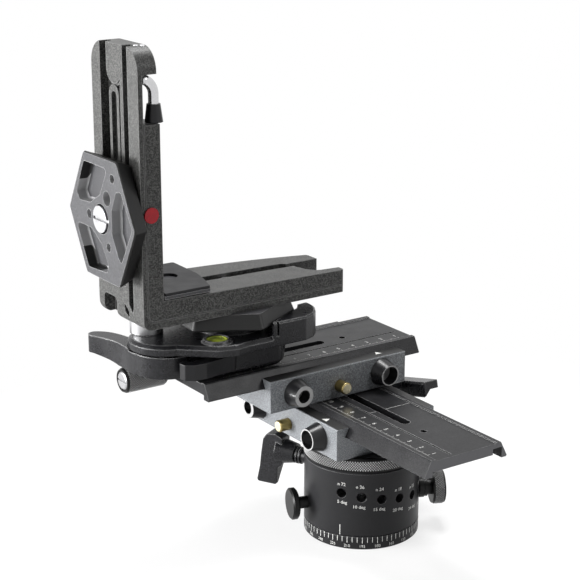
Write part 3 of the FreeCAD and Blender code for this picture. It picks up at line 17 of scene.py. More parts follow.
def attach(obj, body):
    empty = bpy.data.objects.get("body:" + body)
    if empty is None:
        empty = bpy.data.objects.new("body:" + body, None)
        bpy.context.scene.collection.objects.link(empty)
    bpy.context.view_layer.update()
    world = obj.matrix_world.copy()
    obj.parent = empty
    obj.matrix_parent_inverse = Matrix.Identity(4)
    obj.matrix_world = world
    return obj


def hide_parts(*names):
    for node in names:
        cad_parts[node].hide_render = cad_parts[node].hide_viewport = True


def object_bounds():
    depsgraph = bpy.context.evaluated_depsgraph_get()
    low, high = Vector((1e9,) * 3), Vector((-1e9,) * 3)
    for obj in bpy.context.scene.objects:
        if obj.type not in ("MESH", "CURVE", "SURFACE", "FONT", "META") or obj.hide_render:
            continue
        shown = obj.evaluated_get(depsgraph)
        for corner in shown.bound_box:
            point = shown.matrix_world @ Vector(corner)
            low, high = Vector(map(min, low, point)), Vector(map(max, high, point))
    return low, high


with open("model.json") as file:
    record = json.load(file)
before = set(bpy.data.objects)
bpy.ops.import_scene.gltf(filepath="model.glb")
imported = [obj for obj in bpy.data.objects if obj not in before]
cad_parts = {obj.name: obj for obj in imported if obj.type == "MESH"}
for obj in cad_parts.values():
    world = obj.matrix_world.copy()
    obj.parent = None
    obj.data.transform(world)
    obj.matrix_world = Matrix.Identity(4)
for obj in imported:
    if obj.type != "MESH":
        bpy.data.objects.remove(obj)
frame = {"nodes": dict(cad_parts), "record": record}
cad_box = [list(corner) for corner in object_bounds()]
nodes = frame["nodes"]
MM = 0.001

# %% [markdown]
# ## The camera
# A long lens, looking a little down on the head from its front left.  A wide lens close by would
# spread the two crossed plates apart.  From most of a metre away their edges stay nearly
# parallel, as they are on the real plates.

# %% The camera
CAMERA_PLACE = (-0.5086, -0.6720, 0.3953)
CAMERA_DOWN, CAMERA_TURN = 16.94, -34.39
FOCAL_MM, SENSOR_MM = 100.86, 36

lens = bpy.data.cameras.new("studio_camera")
lens.lens, lens.sensor_width = FOCAL_MM, SENSOR_MM
camera = bpy.data.objects.new("studio_camera", lens)
camera.location = CAMERA_PLACE
camera.rotation_euler = (math.radians(90 - CAMERA_DOWN), 0, math.radians(CAMERA_TURN))
bpy.context.collection.objects.link(camera)
bpy.context.scene.camera = camera
middle = sum((Vector(corner) for corner in cad_box), Vector()) / 2
print("the camera stands", round((Vector(CAMERA_PLACE) - middle).length, 3), "m from the middle")

# %% [markdown]
# ## A finish for worked metal
# Every dark part here is anodised or powder coated.  One recipe makes them all: a base colour
# with a fine speckle, a bump from the same grain, a little patchiness in the gloss, and edges
# painted lighter, a painted highlight.  Painted edges would need a UV map of every solid.  The
# Bevel node looks round each corner by tracing rays instead, so it works on the loose triangles
# of a solid from CAD.


# %% Node helpers
def new_material(name):
    material = bpy.data.materials.new(name)
    material.use_nodes = True
    tree = material.node_tree
    tree.nodes.clear()
    output = tree.nodes.new("ShaderNodeOutputMaterial")
    shader = tree.nodes.new("ShaderNodeBsdfPrincipled")
    tree.links.new(shader.outputs[0], output.inputs[0])
    return material, tree, shader


def noise(tree, size_mm, detail=2.0, stretch=(1, 1, 1)):
    """Noise whose features are about size_mm across, in the object's own coordinates."""
    place = tree.nodes.new("ShaderNodeTexCoord")
    mapping = tree.nodes.new("ShaderNodeMapping")
    mapping.inputs["Scale"].default_value = stretch
    texture = tree.nodes.new("ShaderNodeTexNoise")
    texture.inputs["Scale"].default_value = 1 / (size_mm * MM)
    texture.inputs["Detail"].default_value = detail
    tree.links.new(place.outputs["Object"], mapping.inputs["Vector"])
    tree.links.new(mapping.outputs[0], texture.inputs["Vector"])
    return texture.outputs["Fac"]


def spread(tree, value, low, high, start, end):
    """Maps what lies between start and end to what lies between low and high."""
    ramp = tree.nodes.new("ShaderNodeMapRange")
    ramp.inputs["From Min"].default_value, ramp.inputs["From Max"].default_value = start, end
    ramp.inputs["To Min"].default_value, ramp.inputs["To Max"].default_value = low, high
    tree.links.new(value, ramp.inputs["Value"])
    return ramp.outputs[0]


def component(tree, vector, axis):
    split = tree.nodes.new("ShaderNodeSeparateXYZ")
    tree.links.new(vector, split.inputs[0])
    return split.outputs["XYZ".index(axis)]


def both(tree, first, second):
    product = tree.nodes.new("ShaderNodeMath")
    product.operation = "MULTIPLY"
    tree.links.new(first, product.inputs[0])
    tree.links.new(second, product.inputs[1])
    return product.outputs[0]


def mixed(tree, factor, first, second):
    """Mixes two colours, each a triple or a socket.  A Mix node takes its colours at sockets 6
    and 7, and gives the mixed one back at 2."""
    mix = tree.nodes.new("ShaderNodeMix")
    mix.data_type = "RGBA"
    for socket, value in ((6, first), (7, second)):
        if isinstance(value, (tuple, list)):
            mix.inputs[socket].default_value = (*value, 1)
        else:
            tree.links.new(value, mix.inputs[socket])
    tree.links.new(factor, mix.inputs[0])
    return mix.outputs[2]


# %% Corners
CORNER_BAND = (0.8, 0.995)
UPWARD_BAND = (0.05, 0.5)


def own_normal(tree, normal):
    """A normal turned into the object's own frame, so that a finish stays put when a body moves."""
    turn = tree.nodes.new("ShaderNodeVectorTransform")
    turn.vector_type, turn.convert_from, turn.convert_to = "NORMAL", "WORLD", "OBJECT"
    tree.links.new(normal, turn.inputs[0])
    return turn.outputs[0]


def edge_mask(tree, radius_mm, all_round):
    """Near 0 on open faces and 1 at a corner, with the rounded normal as a second result; it marks
    where a highlight is painted.  Unless all_round, only the corners that look upward count, where
    light from above catches them."""
    bevel = tree.nodes.new("ShaderNodeBevel")
    bevel.samples = 4
    bevel.inputs["Radius"].default_value = radius_mm * MM
    geometry = tree.nodes.new("ShaderNodeNewGeometry")
    dot = tree.nodes.new("ShaderNodeVectorMath")
    dot.operation = "DOT_PRODUCT"
    tree.links.new(bevel.outputs[0], dot.inputs[0])
    tree.links.new(geometry.outputs["True Normal"], dot.inputs[1])
    mask = spread(tree, dot.outputs["Value"], 1, 0, *CORNER_BAND)
    if not all_round:
        upward = component(tree, own_normal(tree, bevel.outputs[0]), "Z")
        mask = both(tree, mask, spread(tree, upward, 0, 1, *UPWARD_BAND))
    return mask, bevel.outputs[0]


# %% The metal recipe
GRAIN_BAND = (0.42, 0.64)
PATCH_MM, PATCH_BAND, PATCH_SHARE = 9, (0.3, 0.7), 0.1
RELIEF_MM = 0.05


def metal(name, colour, rough, metallic=0.0, grain=0.5, speckle=0.25, bump=0.15, edge=0.0,
          edge_mm=0.35, specular=0.5, stretch=(1, 1, 1), all_round=False):
    """colour is linear; flecks of the grain are up to 1 + speckle times as light as it, and the
    gaps between them darker; edge is added at corners as a painted highlight."""
    material, tree, shader = new_material(name)
    fine = noise(tree, grain, 3, stretch)
    dark = tuple(c / (1 + speckle) for c in colour)
    light = tuple(min(1, c * (1 + speckle)) for c in colour)
    tone = mixed(tree, spread(tree, fine, 0, 1, *GRAIN_BAND), dark, light)
    shader.inputs["Metallic"].default_value = metallic
    shader.inputs["Specular IOR Level"].default_value = specular
    gloss = spread(tree, noise(tree, PATCH_MM), rough * (1 - PATCH_SHARE),
                   rough * (1 + PATCH_SHARE), *PATCH_BAND)
    tree.links.new(gloss, shader.inputs["Roughness"])
    mask, rounded = edge_mask(tree, edge_mm, all_round)
    # Corners are painted lighter by edge: a painted highlight where light catches them.
    if edge > 0:
        tone = mixed(tree, mask, tone, tuple(min(1, c + edge) for c in colour))
    tree.links.new(tone, shader.inputs["Base Color"])
    relief = tree.nodes.new("ShaderNodeBump")
    relief.inputs["Strength"].default_value = bump
    relief.inputs["Distance"].default_value = RELIEF_MM * MM
    tree.links.new(fine, relief.inputs["Height"])
    tree.links.new(rounded, relief.inputs["Normal"])
    tree.links.new(relief.outputs[0], shader.inputs["Normal"])
    return material


# %% [markdown]
# ## The palette
# Satin black for the turned pan unit, a deeper and coarser black for the castings, charcoal
# powder coat for the bracket, and a lighter grey for the sliding blocks.  One colour for all of
# them would be quicker, but the eye tells cast, coated and turned metal apart by these steps.
# The rubber pad, the grip and the level use the same recipe with another gloss.

# %% The palette
finishes = {
    "pan_black": metal("pan_black", (0.014, 0.014, 0.015), 0.36, grain=0.25, speckle=0.2,
                       bump=0.03, edge=0.2, edge_mm=0.5, specular=0.14, stretch=(1, 1, 3)),
    "block_grey": metal("block_grey", (0.13, 0.137, 0.145), 0.42, grain=0.6, speckle=0.5,
                        bump=0.2, edge=0.4, edge_mm=0.5, specular=0.3),
    "plate_black": metal("plate_black", (0.011, 0.011, 0.012), 0.34, grain=0.6, speckle=0.7,
                         bump=0.15, edge=0.4, edge_mm=0.45, specular=0.16),
    "boss_black": metal("boss_black", (0.008, 0.008, 0.009), 0.3, grain=0.3, speckle=0.2,
                        bump=0.05, edge=0.25, edge_mm=0.4, specular=0.3, all_round=True),
    "cast_black": metal("cast_black", (0.006, 0.006, 0.007), 0.28, grain=0.62, speckle=1.5,
                        bump=0.8, edge=0.28, edge_mm=1.0, specular=0.3),
    "bracket_grey": metal("bracket_grey", (0.026, 0.026, 0.025), 0.42, grain=0.6, speckle=1.9,
                          bump=0.6, edge=0.16, edge_mm=0.7, specular=0.25, all_round=True),
    "hex_grey": metal("hex_grey", (0.04, 0.04, 0.043), 0.38, grain=0.6, speckle=0.4, bump=0.15,
                      edge=0.3, edge_mm=0.6, specular=0.25, all_round=True),
    "steel": metal("steel", (0.5, 0.5, 0.51), 0.3, 1.0, grain=0.3, speckle=0.1, bump=0.05),
    "chrome": metal("chrome", (0.6, 0.6, 0.61), 0.12, 1.0, grain=1.0, speckle=0.03, bump=0.0),
    "brass": metal("brass", (0.32, 0.25, 0.1), 0.3, 1.0, grain=0.4, speckle=0.04, bump=0.02,
                   edge=0.2, edge_mm=0.2),
    "grip_black": metal("grip_black", (0.004, 0.004, 0.005), 0.32, grain=0.4, speckle=0.15,
                        bump=0.1, edge=0.06, edge_mm=0.6, specular=0.3),
    "pad_rubber": metal("pad_rubber", (0.009, 0.009, 0.01), 0.6, grain=0.35, speckle=0.3,
                        bump=0.35, specular=0.25),
    "dot_red": metal("dot_red", (0.28, 0.002, 0.008), 0.22, grain=2.0, speckle=0.05, bump=0.0,
                     edge_mm=0.3, specular=0.3),
    "level_yellow": metal("level_yellow", (0.42, 0.5, 0.06), 0.15, grain=2.0, speckle=0.08,
                          bump=0.0),
}
print("the palette:", ", ".join(finishes))

# %% [markdown]
# ## Two finishes on one solid
# A block is anodised grey, and its top is painted black as painted shade, where the plate beside
# it shades the top.  A boss has a bright turned end.  The walls of a cast plate's lightening
# pockets are painted pale as painted light, and the sides of its rim black as painted shade.  The
# faces could be given separate material slots, but a solid from CAD arrives as one mesh with one
# slot.  A mask picks the second finish instead, by place or by the way a face looks, both in the
# object's own frame.

# %% Masks
SHARP = 1e-5
SQUARE_ON = 0.95


def position(tree):
    return tree.nodes.new("ShaderNodeTexCoord").outputs["Object"]


def step_up(tree, value, edge):
    """0 below the edge and 1 above it."""
    return spread(tree, value, 0, 1, edge - SHARP, edge + SHARP)


def step_down(tree, value, edge):
    """1 below the edge and 0 above it."""
    return spread(tree, value, 1, 0, edge - SHARP, edge + SHARP)


def facing(tree, axis):
    """1 on faces that look along an axis, either way, and 0 on the others."""
    normal = tree.nodes.new("ShaderNodeNewGeometry").outputs["True Normal"]
    size = tree.nodes.new("ShaderNodeMath")
    size.operation = "ABSOLUTE"
    tree.links.new(component(tree, own_normal(tree, normal), axis), size.inputs[0])
    return step_up(tree, size.outputs[0], SQUARE_ON)


def above(height):
    return lambda tree: step_up(tree, component(tree, position(tree), "Z"), height * MM)


def end_face(axis):
    return lambda tree: facing(tree, axis)


def plate_side(middle, axis, inner, outer):
    """All but the faces that look along a hexagonal plate's axis, between two distances from it."""
    def mask(tree):
        offset = tree.nodes.new("ShaderNodeVectorMath")
        offset.operation = "SUBTRACT"
        offset.inputs[1].default_value = [(value or 0) * MM for value in middle]
        tree.links.new(position(tree), offset.inputs[0])
        flat = tree.nodes.new("ShaderNodeVectorMath")
        flat.operation = "MULTIPLY"
        flat.inputs[1].default_value = [0 if value is None else 1 for value in middle]
        tree.links.new(offset.outputs[0], flat.inputs[0])
        reach = tree.nodes.new("ShaderNodeVectorMath")
        reach.operation = "LENGTH"
        tree.links.new(flat.outputs[0], reach.inputs[0])
        ring = both(tree, step_up(tree, reach.outputs["Value"], inner * MM),
                    step_down(tree, reach.outputs["Value"], outer * MM))
        sides = spread(tree, facing(tree, axis), 1, 0, 0, 1)
        return both(tree, ring, sides)
    return mask


def repainted(finish, name, mask_of, colour):
    """A copy of a finish whose colour changes where mask_of(tree) is 1."""
    material = finishes[finish].copy()
    material.name = name
    tree = material.node_tree
    shader = next(node for node in tree.nodes if node.type == "BSDF_PRINCIPLED")
    base = shader.inputs["Base Color"]
    tone = base.links[0].from_socket
    tree.links.new(mixed(tree, mask_of(tree), tone, colour), base)
    return material


# %% [markdown]
# A knurl here is black in its grooves and painted pale on its points, a painted highlight where
# the points catch the light.  Its pyramids are real geometry here, so the mesh carries a number
# that says how high each vertex stands, and the colour follows that number.  A picture of a knurl
# would slide and blur on a round knob.

# %% The knurl's finish
KNURL_HIGHLIGHT_BAND = (0.15, 0.75)


def knurl_metal(name, valley, peak):
    """Black in the grooves, and painted lighter on the points as a painted highlight."""
    material, tree, shader = new_material(name)
    height = tree.nodes.new("ShaderNodeAttribute")
    height.attribute_name = "peak"
    tone = mixed(tree, spread(tree, height.outputs["Fac"], 0, 1, *KNURL_HIGHLIGHT_BAND), valley, peak)
    tree.links.new(tone, shader.inputs["Base Color"])
    shader.inputs["Roughness"].default_value = 0.34
    shader.inputs["Specular IOR Level"].default_value = 0.2
    return material


# The pale points are a painted highlight; the grooves keep the knurl's own black.
finishes["knurl_black"] = knurl_metal("knurl_black", (0.001, 0.001, 0.001), (0.4, 0.4, 0.4))
print("knurl_black pales from", KNURL_HIGHLIGHT_BAND[0], "to", KNURL_HIGHLIGHT_BAND[1], "of a pyramid's height")

# %% [markdown]
# Now the masks go to work.  A block is painted black above its shoulder, painted shade where the
# plate beside it shades its top.  The bosses, the buttons and the lower plate are paler on the
# faces that look along their length.  A hexagonal plate needs two: one paints the pockets near
# its middle pale, a painted highlight of their lit walls, and the next paints the rim outside them
# black, painted shade.  It could be one mask with three levels, but two passes of the same helper
# are easier to follow.

# %% Two-tone finishes
# The black top of a block is painted shade, where the plate beside it shades the top.
SHADED_BLOCK_TOP = (0.012, 0.012, 0.012)
TURNED_END = (0.3, 0.3, 0.3)
BRASS_END = (0.95, 0.86, 0.6)
MILLED_END = (0.09, 0.09, 0.095)
# The pale pocket colour is painted light standing in for lit walls; the rim colour is painted shade
# on sides that lean away from the light.
POCKET_LIGHT = (0.24, 0.24, 0.245)
RIM_SHADE = (0.009, 0.009, 0.009)
LOWER_TOP, UPPER_TOP = 71.85, 93.6
POCKETS_FROM, RIM_FROM, RIM_TO = 9.5, 28.2, 60
HEXAGONS = {"lower": ((-58.0, 46.8, None), "Z"), "upright": ((None, 46.8, 188.0), "X")}


def hexagon_finish(kind):
    """Satin faces, pocket walls painted pale as painted light, and rim sides painted black as
    painted shade.
    """
    middle, axis = HEXAGONS[kind]
    name = kind + "_hex_lit_pockets"
    finishes[name] = repainted("hex_grey", name, plate_side(middle, axis, POCKETS_FROM, RIM_FROM),
                               POCKET_LIGHT)
    return repainted(name, kind + "_hex_shaded_rim", plate_side(middle, axis, RIM_FROM, RIM_TO),
                     RIM_SHADE)


two_tone = {
    "lower_block": repainted("block_grey", "lower_block_shaded_top", above(LOWER_TOP), SHADED_BLOCK_TOP),
    "upper_block": repainted("block_grey", "upper_block_shaded_top", above(UPPER_TOP), SHADED_BLOCK_TOP),
    "lower_bosses": repainted("boss_black", "lower_boss_end", end_face("X"), TURNED_END),
    "upper_bosses": repainted("boss_black", "upper_boss_end", end_face("Y"), TURNED_END),
    "lower_release_button": repainted("brass", "lower_button_end", end_face("X"), BRASS_END),
    "upper_release_button": repainted("brass", "upper_button_end", end_face("Y"), BRASS_END),
    "lower_plate": repainted("plate_black", "lower_plate_ends", end_face("Y"), MILLED_END),
    "upright_hex_plate": hexagon_finish("upright"),
    "lower_hex_plate": hexagon_finish("lower"),
}
print(len(two_tone), "solids carry two finishes")

# %% [markdown]
# ## Dressing the solids
# Every solid of the machine names its finish in the record.  Giving each one its material by hand
# would be sixty lines that go stale, so a loop reads the record, and only a two-tone solid is
# looked up by its own name.

# %% Dress the solids
slot_of = {part["node"]: part["material_slot"] for part in frame["record"]["subparts"]}
for node, thing in nodes.items():
    thing.data.materials.clear()
    thing.data.materials.append(two_tone.get(node, finishes[slot_of[node]]))
print("dressed", len(nodes), "solids in", len({slot_of[node] for node in nodes}), "finishes")

# %% [markdown]
# New pieces are built as bmeshes.  Each one ends in the same way: it becomes an object at the
# origin, takes its finish, and is tied to the body that it moves with.


# %% A finished piece
def finished(name, bm, finish, body, *stands_for, slot=None):
    """Turns a bmesh into a piece at the origin that rides on a body."""
    mesh = bpy.data.meshes.new(name)
    bm.to_mesh(mesh)
    bm.free()
    mesh.materials.append(finishes[finish])
    piece = bpy.data.objects.new(name, mesh)
    bpy.context.collection.objects.link(piece)
    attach(piece, body)
    if stands_for:
        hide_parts(*stands_for)
    print(name, len(mesh.polygons), "faces")
    return piece


# %% [markdown]
# ## Knurling
# A diamond knurl is two sets of crossed grooves.  On a grid whose corners stand alternately
# high and low, cutting every square along its low diagonal leaves exactly such pyramids.  The
# grid is rolled into a band, and its two open rims are carried inward by extruding them.  A bump
# map would be cheaper, but its outline stays smooth where the real one has teeth.

# %% A knurled barrel
SAME_PLACE = 1e-7


def rim(bm, height):
    return [edge for edge in bm.edges
            if edge.is_boundary and all(abs(v.co.z - height) < SAME_PLACE for v in edge.verts)]


def carried(bm, edges, radius, height, new_radius, new_height):
    """Extrudes a rim to another radius and height and gives back the new rim."""
    made = bmesh.ops.extrude_edge_only(bm, edges=edges)["geom"]
    verts = {item for item in made if isinstance(item, bmesh.types.BMVert)}
    ratio = new_radius / radius
    bmesh.ops.scale(bm, vec=(ratio, ratio, 1), verts=list(verts))
    bmesh.ops.translate(bm, vec=(0, 0, new_height - height), verts=list(verts))
    return [item for item in made if isinstance(item, bmesh.types.BMEdge)
            and all(v in verts for v in item.verts)]


def knurled_barrel(name, node, body, place, radius, low, high, pitch, depth, top, bottom):
    """top and bottom are (radius, height) rings from the band inward; all in millimetres."""
    count = 2 * round(math.tau * radius / pitch)
    rows = 2 * max(1, round((high - low) / pitch))
    bm = bmesh.new()
    bmesh.ops.create_grid(bm, x_segments=count, y_segments=rows, size=0.5)
    peak = bm.verts.layers.float.new("peak")
    for vert in bm.verts:
        column, row = round((vert.co.x + 0.5) * count), round((vert.co.y + 0.5) * rows)
        raised = (column + row) % 2 and 0 < row < rows
        vert[peak] = 1.0 if raised else 0.0
        reach = (radius if raised else radius - depth) * MM
        turn = math.tau * column / count
        vert.co = (reach * math.cos(turn), reach * math.sin(turn),
                   (low + (high - low) * row / rows) * MM)
    bmesh.ops.remove_doubles(bm, verts=bm.verts, dist=SAME_PLACE)
    bmesh.ops.triangulate(bm, faces=bm.faces, quad_method="SHORT_EDGE")
    ends = []
    for rings, start in ((top, high), (bottom, low)):
        edges, last = rim(bm, start * MM), (radius - depth, start)
        for ring in rings:
            edges = carried(bm, edges, last[0], last[1] * MM, ring[0], ring[1] * MM)
            last = ring
        ends += edges
    bmesh.ops.bridge_loops(bm, edges=ends)
    bmesh.ops.recalc_face_normals(bm, faces=bm.faces)
    bm.transform(place)
    return finished(name, bm, "knurl_black", body, node)


# %% [markdown]
# Four pieces are knurled: the wide disc under the lower block, the plunger's knob, and a knob on
# each slide's lead screw.  Each barrel is turned upright from its own profile and then laid along
# its axle, so that all four come from one helper and differ only in their numbers.


# %% The knurled disc and knobs
def standing_at(x, y, z, axis):
    """A matrix that lays local Z along axis from a point in millimetres."""
    turn = Vector(axis).to_track_quat("Z", "Y").to_matrix().to_4x4()
    return Matrix.Translation((x * MM, y * MM, z * MM)) @ turn


def radial(angle):
    turn = math.radians(angle)
    return Vector((math.cos(turn), math.sin(turn), 0))


PLUNGER_ANGLE, PLUNGER_HEIGHT = -26.5, 21.2
UPPER_KNOB_SEAT = (-89.6, 64.3, 91.0)
LOWER_KNOB_SEAT = (20.8, 53.4, 69.25)

knurled_barrel("disc_knurled", "knurled_disc", "rotor", Matrix.Identity(4),
               radius=32.6, low=46.1, high=52.2, pitch=1.4, depth=0.5,
               top=((31.6, 53.1), (30.6, 53.5), (8.2, 53.5)),
               bottom=((31.9, 45.4), (8.2, 45.4)))
knurled_barrel("plunger_knob_knurled", "plunger_knob", "plunger",
               standing_at(0, 0, PLUNGER_HEIGHT, radial(PLUNGER_ANGLE)),
               radius=9.9, low=40.3, high=46.1, pitch=1.45, depth=0.5,
               top=((9.2, 46.8), (8.4, 46.8), (8.0, 46.4), (1.3, 46.4)),
               bottom=((9.2, 39.6), (4.5, 39.6), (4.5, 37.2), (5.3, 37.2), (5.3, 35.6),
                       (1.3, 35.6)))
knurled_barrel("upper_knob_knurled", "upper_fine_knob", "upper_screw",
               standing_at(*UPPER_KNOB_SEAT, (-1, 0, 0)),
               radius=7.2, low=1.1, high=24.6, pitch=1.3, depth=0.4,
               top=((6.3, 25.5), (5.3, 25.5), (5.3, 24.3), (2.4, 24.3)),
               bottom=((6.4, 0.3), (2.5, 0.3)))
knurled_barrel("lower_knob_knurled", "lower_fine_knob", "lower_screw",
               standing_at(*LOWER_KNOB_SEAT, (0, 1, 0)),
               radius=4.6, low=1.1, high=24.6, pitch=1.2, depth=0.35,
               top=((3.7, 25.5), (2.4, 25.5)), bottom=((3.8, 0.3), (2.5, 0.3)))

# %% [markdown]
# ## The clamp's post
# The quick-release post is bare turned steel, but among the solids it is one piece with the black
# casting.  A mask could give it a pale colour, but steel also needs another gloss, so a thin
# sleeve is turned over it: a profile of edges spun once round the post's axis.

# %% The post's sleeve
POST = (-101.0, 61.0)
POST_RINGS = ((9.0, 118.0), (9.06, 118.1), (9.06, 129.6), (8.6, 130.1), (8.2, 130.1), (8.2, 118.0))


def turned(rings, axis_at, steps=96):
    """A closed profile of (radius, height) points spun round an upright axis."""
    bm = bmesh.new()
    verts = [bm.verts.new(((axis_at[0] + radius) * MM, axis_at[1] * MM, height * MM))
             for radius, height in rings]
    edges = [bm.edges.new((verts[i], verts[(i + 1) % len(verts)])) for i in range(len(verts))]
    bmesh.ops.spin(bm, geom=verts + edges, cent=(axis_at[0] * MM, axis_at[1] * MM, 0),
                   axis=(0, 0, 1), angle=math.tau, steps=steps, use_merge=True)
    bmesh.ops.remove_doubles(bm, verts=bm.verts, dist=SAME_PLACE)
    bmesh.ops.recalc_face_normals(bm, faces=bm.faces)
    return bm


finished("clamp_post_sleeve", turned(POST_RINGS, POST), "steel", "upper_slide")

# %% [markdown]
# ## Painted figures
# The head's figures are white and lie in or on the metal.  Cutting letters into a solid makes
# poor triangles, so here they are thin paint on its face.  Letters start as a text curve and
# become a mesh, and are then laid on the metal: flat on the sliding plates, and rolled round the
# pan unit by turning each point's distance from the middle into an angle.

# %% Lettering helpers
PAINT = 0.03
SIZE_PER_HEIGHT = 1.38
CURVE_STEPS = 3
finishes["paint_white"] = metal("paint_white", (0.62, 0.62, 0.6), 0.5, grain=0.3, speckle=0.12,
                                bump=0.05)
print("the paint is", 2 * PAINT, "mm thick")


def lettering(bm, text, height, place):
    """Adds text to a bmesh: centred on its own plane, then moved by place(point)."""
    curve = bpy.data.curves.new("figures", "FONT")
    curve.body, curve.align_x, curve.align_y = text, "CENTER", "CENTER"
    curve.size, curve.extrude = height * SIZE_PER_HEIGHT * MM, PAINT * MM
    curve.resolution_u = CURVE_STEPS
    words = bpy.data.objects.new("figures", curve)
    bpy.context.collection.objects.link(words)
    bpy.context.view_layer.update()
    shaped = words.evaluated_get(bpy.context.evaluated_depsgraph_get())
    flat = bpy.data.meshes.new_from_object(shaped)
    bpy.data.objects.remove(words)
    first = len(bm.verts)
    bm.from_mesh(flat)
    bpy.data.meshes.remove(flat)
    bm.verts.ensure_lookup_table()
    for vert in bm.verts[first:]:
        vert.co = place(vert.co)


def stroke(bm, across, along, place):
    """Adds a painted bar of that width and length."""
    made = bmesh.ops.create_cube(bm, size=1)["verts"]
    bmesh.ops.scale(bm, vec=(across * MM, along * MM, 2 * PAINT * MM), verts=made)
    for vert in made:
        vert.co = place(vert.co)


def pointer(bm, size, place):
    """Adds a painted triangle that points along +Y of the flat plane."""
    made = bmesh.ops.create_cone(bm, segments=3, radius1=size * MM, radius2=size * MM,
                                 depth=2 * PAINT * MM, cap_ends=True)["verts"]
    for vert in made:
        vert.co = place(vert.co)


def rolled(angle, height, radius):
    """Lays the flat plane on a cylinder: X runs round it and Y up it."""
    def place(point):
        turn = math.radians(angle) + point.x / (radius * MM)
        reach = radius * MM + point.z
        return Vector((reach * math.cos(turn), reach * math.sin(turn), height * MM + point.y))
    return place


def laid(x, y, z, right, up):
    """Lays the flat plane on a level face at a point, with its X and Y along right and up."""
    right, up = Vector(right), Vector(up)
    return lambda point: Vector((x * MM, y * MM, z * MM + point.z)) + right * point.x + up * point.y


# %% [markdown]
# The pan body has ten click holes that climb round it, and each is named twice: by the number of
# stops in a full turn above it, and by the angle between two stops below.  The plunger hides one
# of the angles, so nineteen names are made.  They follow the climb only roughly, so each has its
# own place: an angle round the axis and a height in millimetres.

# %% The click stops' names
PAN_RADIUS = 32.25
CLICK_FIGURE = 1.9
INDEX_ANGLE, INDEX_HEIGHT, INDEX_LENGTH, INDEX_WIDTH = -147.9, 11, 6, 0.35
CLICK_STOPS = ((-146.6, 37.9, "n 72"), (-128.3, 37.05, "n 36"), (-109, 35.3, "n 24"),
               (-88.35, 33.2, "n 18"), (-68.1, 31.5, "n 15"), (-46.5, 29.2, "n 12"),
               (-26.5, 26.9, "n 10"), (-6.4, 25.2, "n 8"), (13.6, 23.7, "n 6"), (33.7, 22.2, "n 4"),
               (-145.9, 27.4, "5 deg"), (-129.2, 25.3, "10 deg"), (-109.25, 23.7, "15 deg"),
               (-88.4, 21.4, "20 deg"), (-67.1, 18.8, "24 deg"), (-46.5, 17.2, "30 deg"),
               (-6.4, 13.6, "45 deg"), (13.6, 12.1, "60 deg"), (33.7, 10.6, "90 deg"))
bm = bmesh.new()
for angle, height, words in CLICK_STOPS:
    lettering(bm, words, CLICK_FIGURE, rolled(angle, height, PAN_RADIUS))
stroke(bm, INDEX_WIDTH, INDEX_LENGTH, rolled(INDEX_ANGLE, INDEX_HEIGHT, PAN_RADIUS))
finished("click_stop_names", bm, "paint_white", "rotor", slot="pan_black")

# %% [markdown]
# Below them the fixed base carries a degree ring: a mark every 5 degrees, and at every 15 a
# longer one with its number under it.  The marks hang from one height, so a long one reaches
# lower.  It rides on the base and the index line on the pan unit, and the two part as it pans.

# %% The degree ring
READING, READING_AT = 195, -125.5
MARK_TOP, MARK_WIDTH, SHORT_MARK, LONG_MARK = 7.3, 0.32, 3.1, 3.6
DEGREE_FIGURE, DEGREE_FIGURE_AT = 1.7, 1.95


def ring_angle(degrees):
    """Where a reading of the ring stands, with the READING at READING_AT."""
    return READING_AT + READING - degrees


bm = bmesh.new()
for degrees in range(0, 360, 5):
    length = SHORT_MARK if degrees % 15 else LONG_MARK
    stroke(bm, MARK_WIDTH, length, rolled(ring_angle(degrees), MARK_TOP - length / 2, PAN_RADIUS))
for degrees in range(0, 360, 15):
    lettering(bm, str(degrees), DEGREE_FIGURE,
              rolled(ring_angle(degrees), DEGREE_FIGURE_AT, PAN_RADIUS))
finished("degree_ring_marks", bm, "paint_white", "base", slot="pan_black")

# %% [markdown]
# Each sliding plate has a centimetre scale along one edge, with millimetre marks between, and a
# broken line across its middle.  Both scales are alike, so one function draws them and is told
# which way the plate runs.

# %% The centimetre scales
SCALE_EDGE, SCALE_START, SCALE_FIGURES_AT = -19.75, 8.3, -14.9
SCALE_LINE, SCALE_FIGURE = 0.22, 2.6
CENTRE_LINE_AT, CENTRE_LINES = 71.7, ((-7.5, -3.4), (3.4, 19.6))
FIRST_MARK, END_MARK = 10, 130


def mark_length(step):
    if step % 10 == 0:
        return 2.4
    return 2.0 if step % 5 == 0 else 1.2


def plate_scale(name, near_end, face, spot, right, up, body):
    """spot(along, across) gives world x and y for a place on the plate."""
    bm = bmesh.new()
    for step in range(FIRST_MARK, END_MARK):
        along = near_end - SCALE_START - (step - FIRST_MARK)
        length = mark_length(step)
        stroke(bm, SCALE_LINE, length,
               laid(*spot(along, SCALE_EDGE + length / 2), face, right, up))
        if step % 10 == 0:
            lettering(bm, str(step // 10), SCALE_FIGURE,
                      laid(*spot(along, SCALE_FIGURES_AT), face, right, up))
    for low, high in CENTRE_LINES:
        centre = spot(near_end - CENTRE_LINE_AT, (low + high) / 2)
        stroke(bm, SCALE_LINE, high - low, laid(*centre, face, right, up))
    return finished(name, bm, "paint_white", body, slot="plate_black")


LOWER_NEAR_END, LOWER_FACE = 88.6, 74.65
UPPER_NEAR_END, UPPER_FACE, UPPER_MIDDLE = 52.4, 96.4, 43.5
plate_scale("lower_plate_scale", LOWER_NEAR_END, LOWER_FACE,
            lambda along, across: (across, -along), (0, -1, 0), (1, 0, 0), "lower_slide")
plate_scale("upper_plate_scale", UPPER_NEAR_END, UPPER_FACE,
            lambda along, across: (along, UPPER_MIDDLE + across), (1, 0, 0), (0, 1, 0),
            "upper_slide")

